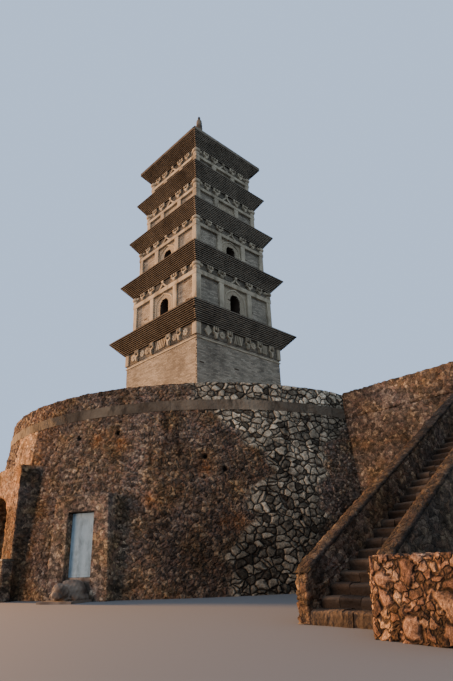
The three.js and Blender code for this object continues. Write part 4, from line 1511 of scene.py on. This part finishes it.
def tortoiseShell(spec):
    # shell and rim, head, eyes and feet as rounded blocks, and the seat that holds the tablet
    face, lift = spec["face"], spec["slabTop"]
    centre = np.array([0, face + spec["shellReach"], spec["shellRise"]])
    radii = np.array(spec["shell"])
    body = pillow(centre, radii, 2.5, 26)
    body[0][:] += normalsOf(*body) * scutes(body[0], centre, radii)[:, None]
    reach = face + spec["headReach"]
    blocks = [
        (centre - (0, 0, 0.09), (radii[0] + 0.02, radii[1] + 0.02, 0.06), 3, 18),     # rim
        ((0.0, reach, 0.29), (0.200, 0.190, 0.190), 2.4, 16),                         # skull
        ((0.0, reach + 0.10, 0.20), (0.15, 0.13, 0.10), 2.4, 12),                     # muzzle
        ((0.0, reach - 0.16, 0.24), (0.12, 0.18, 0.12), 2.2, 12),                     # neck
    ]
    for side in (-1, 1):
        blocks.append(((side * 0.10, reach + 0.09, 0.37), (0.060, 0.060, 0.050), 2, 8))    # eye
        for along in (0.44, 0.0):
            blocks.append(((side * 0.33, face + along, lift + 0.07), (0.12, 0.12, 0.10), 2.3, 10))    # foot
    low = (-spec["seatHalf"], spec["tabletBack"], lift)
    high = (spec["seatHalf"], spec["tabletFront"] + spec["seatReach"], spec["tabletFoot"])
    shell = joinShells([body, *(pillow(*block) for block in blocks), bankShell(low, high, 0.06)])
    # chips and hollows, as products of sines along its normals
    x, y, z = (shell[0][:, k:k + 1] for k in range(3))
    chips = 0.016 * (np.sin(x * 41) * np.sin(y * 37) * np.sin(z * 33))
    shell[0][:] += normalsOf(*shell) * (chips + 0.020 * np.sin(x * 19) * np.sin(z * 23))
    shell[0][:, 2] = np.clip(shell[0][:, 2], lift * 0.5, spec["tabletFoot"])
    return shell


def buildNiche(spec):
    azimuth = spec["azimuth"]
    inside = squareOutline(spec["half"], spec["head"])
    outside = squareOutline(spec["outerHalf"], spec["top"], spec["flare"])
    ring = frameShell(inside, outside, spec["face"], (140, 12, 16))
    # little relief beside the opening, so that its edges stay straight
    aside = np.maximum(np.abs(ring[0][:, 0]) - spec["half"], ring[0][:, 2] - spec["head"])
    weight = 0.15 + 0.55 * smoothStep(aside / 0.12)
    makeRubblePiece("niche_stones", placed(ring, azimuth), ["niche_surround"], weight, stainAndPaintedLight=spec["stainAndPaintedLight"])
    tablet = tabletShell(
        spec["tabletHalf"], spec["tabletBack"], spec["tabletFront"], spec["tabletFoot"], spec["tabletTop"],
    )
    makePiece("niche_tablet_slab", placed(tablet, azimuth), paleStone, ["niche_tablet"],
              {"tone": 0.5 + 0.08 * np.sin(tablet[0][:, 0] * 23) * np.sin(tablet[0][:, 2] * 1.7)})

    def uneven(s, o, z):
        # sides and top wander by sines
        return s * (1 + 0.01 * np.sin(o * 9)), o + 0.012 * np.sin(s * 11), z - 0.006 * np.sin(7 * s) * (z > 0)

    low = (-spec["slabHalf"], spec["face"] - 0.30, 0)
    high = (spec["slabHalf"], spec["face"] + spec["slabReach"], spec["slabTop"])
    slab = bankShell(low, high, 0.06, uneven)
    makePiece("niche_slab_stone", placed(slab, azimuth), darkStone, ["niche_slab"],
              {"tone": 0.6 + 0.2 * np.sin(slab[0][:, 0] * 5)})
    tortoise = tortoiseShell(spec)
    x, y, z = tortoise[0].T
    # tops lighter: rubbed wear, and a painted highlight on the upper parts
    values = {"tone": 0.5 + 0.3 * np.sin(x * 13) * np.sin(y * 11), "wearAndPaintedLight": 0.25 * smoothStep((z - 0.3) / 0.3)}
    makePiece("tortoise_carved", placed(tortoise, azimuth), darkStone, ["tortoise_base"],
              values, smooth=True)


buildRecess(recess)
buildNiche(niche)
low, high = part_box("recess_tablet")
tablet = tabletShell(high.y, -high.x, -low.x, low.z, high.z)
makePiece("recess_tablet_slab", placed(tablet, recess["azimuth"]), paleStone,
          ["recess_tablet"], {"tone": 0.5 + 0.08 * np.sin(tablet[0][:, 0] * 23)})
print("pagoda: recess and niche made")

# Stair: parapets, copings, steps, landing and pier

low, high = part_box("stair_bottom_step")
stair = {
    "foot": low.x,
    "bottomStep": high.z,
    "outer": low.y,
    "inner": high.y,
    "steps": 33,
    "tread": high.x - low.x,
    "stoneShift": 0.22,     # share of a stone by which the joints of a step wander
    "uneven": 0.008,
    "joint": 0.004,
    "belly": 0.012,
    "noseWear": 0.022,
    "behind": 0.16,         # how far a step runs on under the next, and down behind the one below
    "below": 0.10,
    "copingThickness": 0.070,
    "copingCrown": 0.020,
    "bluntness": 0.05,      # how far the coping drops at its foot
    "copingSoot": 0.94,
    "copingCounts": (220, 6, 3),
    "nearCell": 0.066,
    "farCell": 0.085,
    "parapetSoot": 0.42,
    "parapetRust": 0.12,
    "landingCell": 0.11,
    "landingParapetCell": 0.075,
    "landingLap": 0.05,
}
stair["rise"] = (terrace["deckTop"] - stair["bottomStep"]) / stair["steps"]


def buildStairSide(side, cell, spec):
    wall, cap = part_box(f"stair_parapet_{side}"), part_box(f"stair_coping_{side}")
    slope = spec["rise"] / spec["tread"]
    long, tall = wall[1].x - wall[0].x, wall[1].z
    under = tall - slope * long     # top of the rubble at its foot
    counts = (round(long / cell), 4, round(tall / cell / 1.3))

    def underCoping(u, v, w):
        # a wall whose top rises with the slope
        x = wall[0].x + long * u
        return x, between(wall[0].y, wall[1].y, v), (under + slope * long * u) * w

    parapet = latticeShell(counts, underCoping)
    makeRubblePiece(f"parapet_stones_{side}", parapet, [f"stair_parapet_{side}"], 0.6,
                    stainAndPaintedLight=spec["parapetSoot"], rustAndSunGlow=spec["parapetRust"])

    def crest(u, v, w):
        # a bar along the slope, crowned across and blunt at its foot
        x = between(cap[0].x, cap[1].x, u)
        across = 2 * v - 1
        blunt = spec["bluntness"] * (1 - smoothStep(u * 60))
        bottom = under + slope * (x - cap[0].x)
        y = (cap[0].y + cap[1].y) / 2 + across * (cap[1].y - cap[0].y) / 2
        thick = spec["copingThickness"] - spec["copingCrown"] * across ** 2 - blunt
        return x, y, bottom + thick * w

    coping = latticeShell(spec["copingCounts"], crest)
    makeRubblePiece(f"coping_{side}", coping, [f"stair_coping_{side}"], 0.30, stainAndPaintedLight=spec["copingSoot"])


def buildSteps(name, numbers, nodes, spec):
    # each step is a row of split stones; number 0 is the bottom step
    random = np.random.default_rng(len(name))
    shells, tones, wears = [], [], []
    for number in numbers:
        front = spec["foot"] + number * spec["tread"]
        top = spec["bottomStep"] + number * spec["rise"]
        count = random.integers(3, 5)
        shift = random.uniform(-spec["stoneShift"], spec["stoneShift"], count - 1)
        shares = (np.arange(count + 1) + np.append(0, np.append(shift, 0))) / count
        ends = between(spec["outer"], spec["inner"], shares)
        for left, right in zip(ends[:-1], ends[1:]):
            out, lift = random.uniform(-spec["uneven"], spec["uneven"], 2)
            phase = random.uniform(0, 6, 3)

            def place(u, v, w, left=left, right=right, out=out, lift=lift, phase=phase, front=front, top=top):
                # a block whose front bellies by sines and whose top edge is worn round
                y = left + spec["joint"] + (right - left - 2 * spec["joint"]) * v
                z = top - (spec["rise"] + spec["below"]) * (1 - w)
                belly = spec["belly"] * np.sin(9 * y + phase[0]) + spec["belly"] * np.sin(31 * z + phase[1])
                worn = spec["noseWear"] * smoothStep((w - 0.75) / 0.25) * (1 - smoothStep(u * 6))
                reach = (spec["tread"] + spec["behind"]) * u
                x = front + out - (belly + 0.010) * (1 - u) * 0.8 + reach + worn * 0.6
                sag = 0.006 * np.sin(7 * y + phase[2]) * w
                return x, y, np.maximum(z + lift * w + sag - worn, 0)

            shell = latticeShell((6, 5, 5), place)
            shells.append(shell)
            tones.append(np.full(len(shell[0]), random.uniform(0.3, 0.7)))
            # noses rubbed bright, the risers under them sooty
            nose = (shell[0][:, 2] > top - 0.05) & (shell[0][:, 0] < front + 0.05)
            wears.append(np.where(nose, 0.6, np.where(shell[0][:, 2] < top - 0.05, -0.25, 0.0)))
    values = {"tone": np.concatenate(tones), "wearAndPaintedLight": np.concatenate(wears)}
    makePiece(name, joinShells(shells), stepStone, nodes, values)


buildStairSide("terrace_side", stair["nearCell"], stair)
buildStairSide("outer_side", stair["farCell"], stair)
buildSteps("steps_bottom", [0], ["stair_bottom_step"], stair)
perFlight = stair["steps"] // 3
for part, name in enumerate(("lower", "middle", "upper")):
    numbers = range(part * perFlight + 1, (part + 1) * perFlight + 1)
    buildSteps(f"steps_{name}", numbers, [f"stair_flight_{name}"], stair)

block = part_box("landing_block")


def landingFace(x, y, z):
    # the side towards the terrace follows the round wall
    wall = stair["landingLap"] - drumFace(x, z)
    return x, block[0].y + (wall - block[0].y) * (y - block[0].y) / (block[1].y - block[0].y), z


makeRubblePiece("landing_stones", bankShell(*block, stair["landingCell"], landingFace), ["landing_block"])
for part in ("west", "east", "south"):
    node = f"landing_parapet_{part}"
    shell = bankShell(*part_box(node), stair["landingParapetCell"])
    makeRubblePiece(f"landing_parapet_stones_{part}", shell, [node])

low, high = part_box("stair_pier")
pier = {
    "top": high.z,
    "front": low.y,
    "right": high.x,
    "corner": [(low.x, low.y), (-10.640, -15.715), (-10.476, -14.782), (stair["foot"], stair["outer"]),
               (stair["foot"], -14.525)],
    "batter": 0.10,
    "stainAndPaintedLight": 0.17,
}


def pierPlace(u, v, w):
    # from the cut corner's line on the left to the straight right side; the left side leans in
    line = np.array(pier["corner"])
    along = np.append(0, np.cumsum(np.hypot(*np.diff(line, axis=0).T)))
    share = v * along[-1]
    left = np.interp(share, along, line[:, 0]) + pier["batter"] * w
    x = between(left, pier["right"], u)
    back = np.interp(share, along, line[:, 1])
    straight = between(pier["front"], pier["corner"][-1][1], v)
    return x, between(back, straight, u), pier["top"] * w


makeRubblePiece("pier_stones", latticeShell((84, 60, 25), pierPlace), ["stair_pier"], 0.8, laid=True,
                stainAndPaintedLight=pier["stainAndPaintedLight"])
print("pagoda: stair made")

# Finial, as a solid of revolution

finial = {
    "foot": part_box("finial")[0].z,
    "top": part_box("finial")[1].z,
    "height": [0, 0.18, 0.23, 0.42, 0.70, 1.00, 1.50, 1.90, 2.01, 2.151, 2.251, 2.281],
    "radius": [0.33, 0.33, 0.26, 0.30, 0.25, 0.21, 0.19, 0.165, 0.09, 0.085, 0.055, 0.01],
    "ripple": 0.03,
}


def finialSurface(u, v, w):
    # a square stack squeezed into circles: each point keeps max(|a|, |b|) as its distance from the axis
    a, b = 2 * u - 1, 2 * v - 1
    pull = np.maximum(np.abs(a), np.abs(b)) / np.maximum(np.hypot(a, b), 1e-9)
    height = w * (finial["top"] - finial["foot"])
    radius = np.interp(height, finial["height"], finial["radius"])
    radius = radius * (1 + finial["ripple"] * np.sin(height * 26))
    return a * pull * radius, b * pull * radius, finial["foot"] + height
finialShell = latticeShell((6, 6, 60), finialSurface)
makePiece("finial_rendered", finialShell, cementRender, ["finial"],
          {"tone": 0.35 + 0.3 * np.sin(finialShell[0][:, 2] * 8)})
print("pagoda: finial made")

# Plain finishes of the frame's own nodes, for what isn't replaced
finishes = {
    "walls": limeMortar, "string": limedBrick, "posts": limedBrick, "bracket": limedBrick,
    "eave": eaveMortar, "roof": eaveMortar, "finial": eaveBrick, "coping": cementRender,
    "flight": stepStone, "bottom_step": stepStone, "deck": pavingStone, "fill": darkStone,
    "tablet": paleStone, "tortoise": darkStone, "slab": darkStone,
}
for name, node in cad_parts.items():
    material = next((m for key, m in finishes.items() if key in name), rubbleStone)
    node.data.materials.clear()
    node.data.materials.append(material)

# Floor

floorHalf = 60
ground = latticeShell(
    (2, 2, 1), lambda u, v, w: ((u - 0.5) * 2 * floorHalf, (v - 0.5) * 2 * floorHalf, -0.1 + 0.1 * w),
)
floorMesh = bpy.data.meshes.new("floor")
floorMesh.from_pydata(ground[0].tolist(), [], ground[1].tolist())
floor = addToScene("floor", floorMesh)
floorPaint, tree = startMaterial("paleFloor")[:2]
paint = addNode(tree, "ShaderNodeBsdfPrincipled", {"Base Color": fromHex("6c757c"), "Roughness": 0.9})
addNode(tree, "ShaderNodeOutputMaterial", {"Surface": paint})
floorMesh.materials.append(floorPaint)

print("pagoda: done")
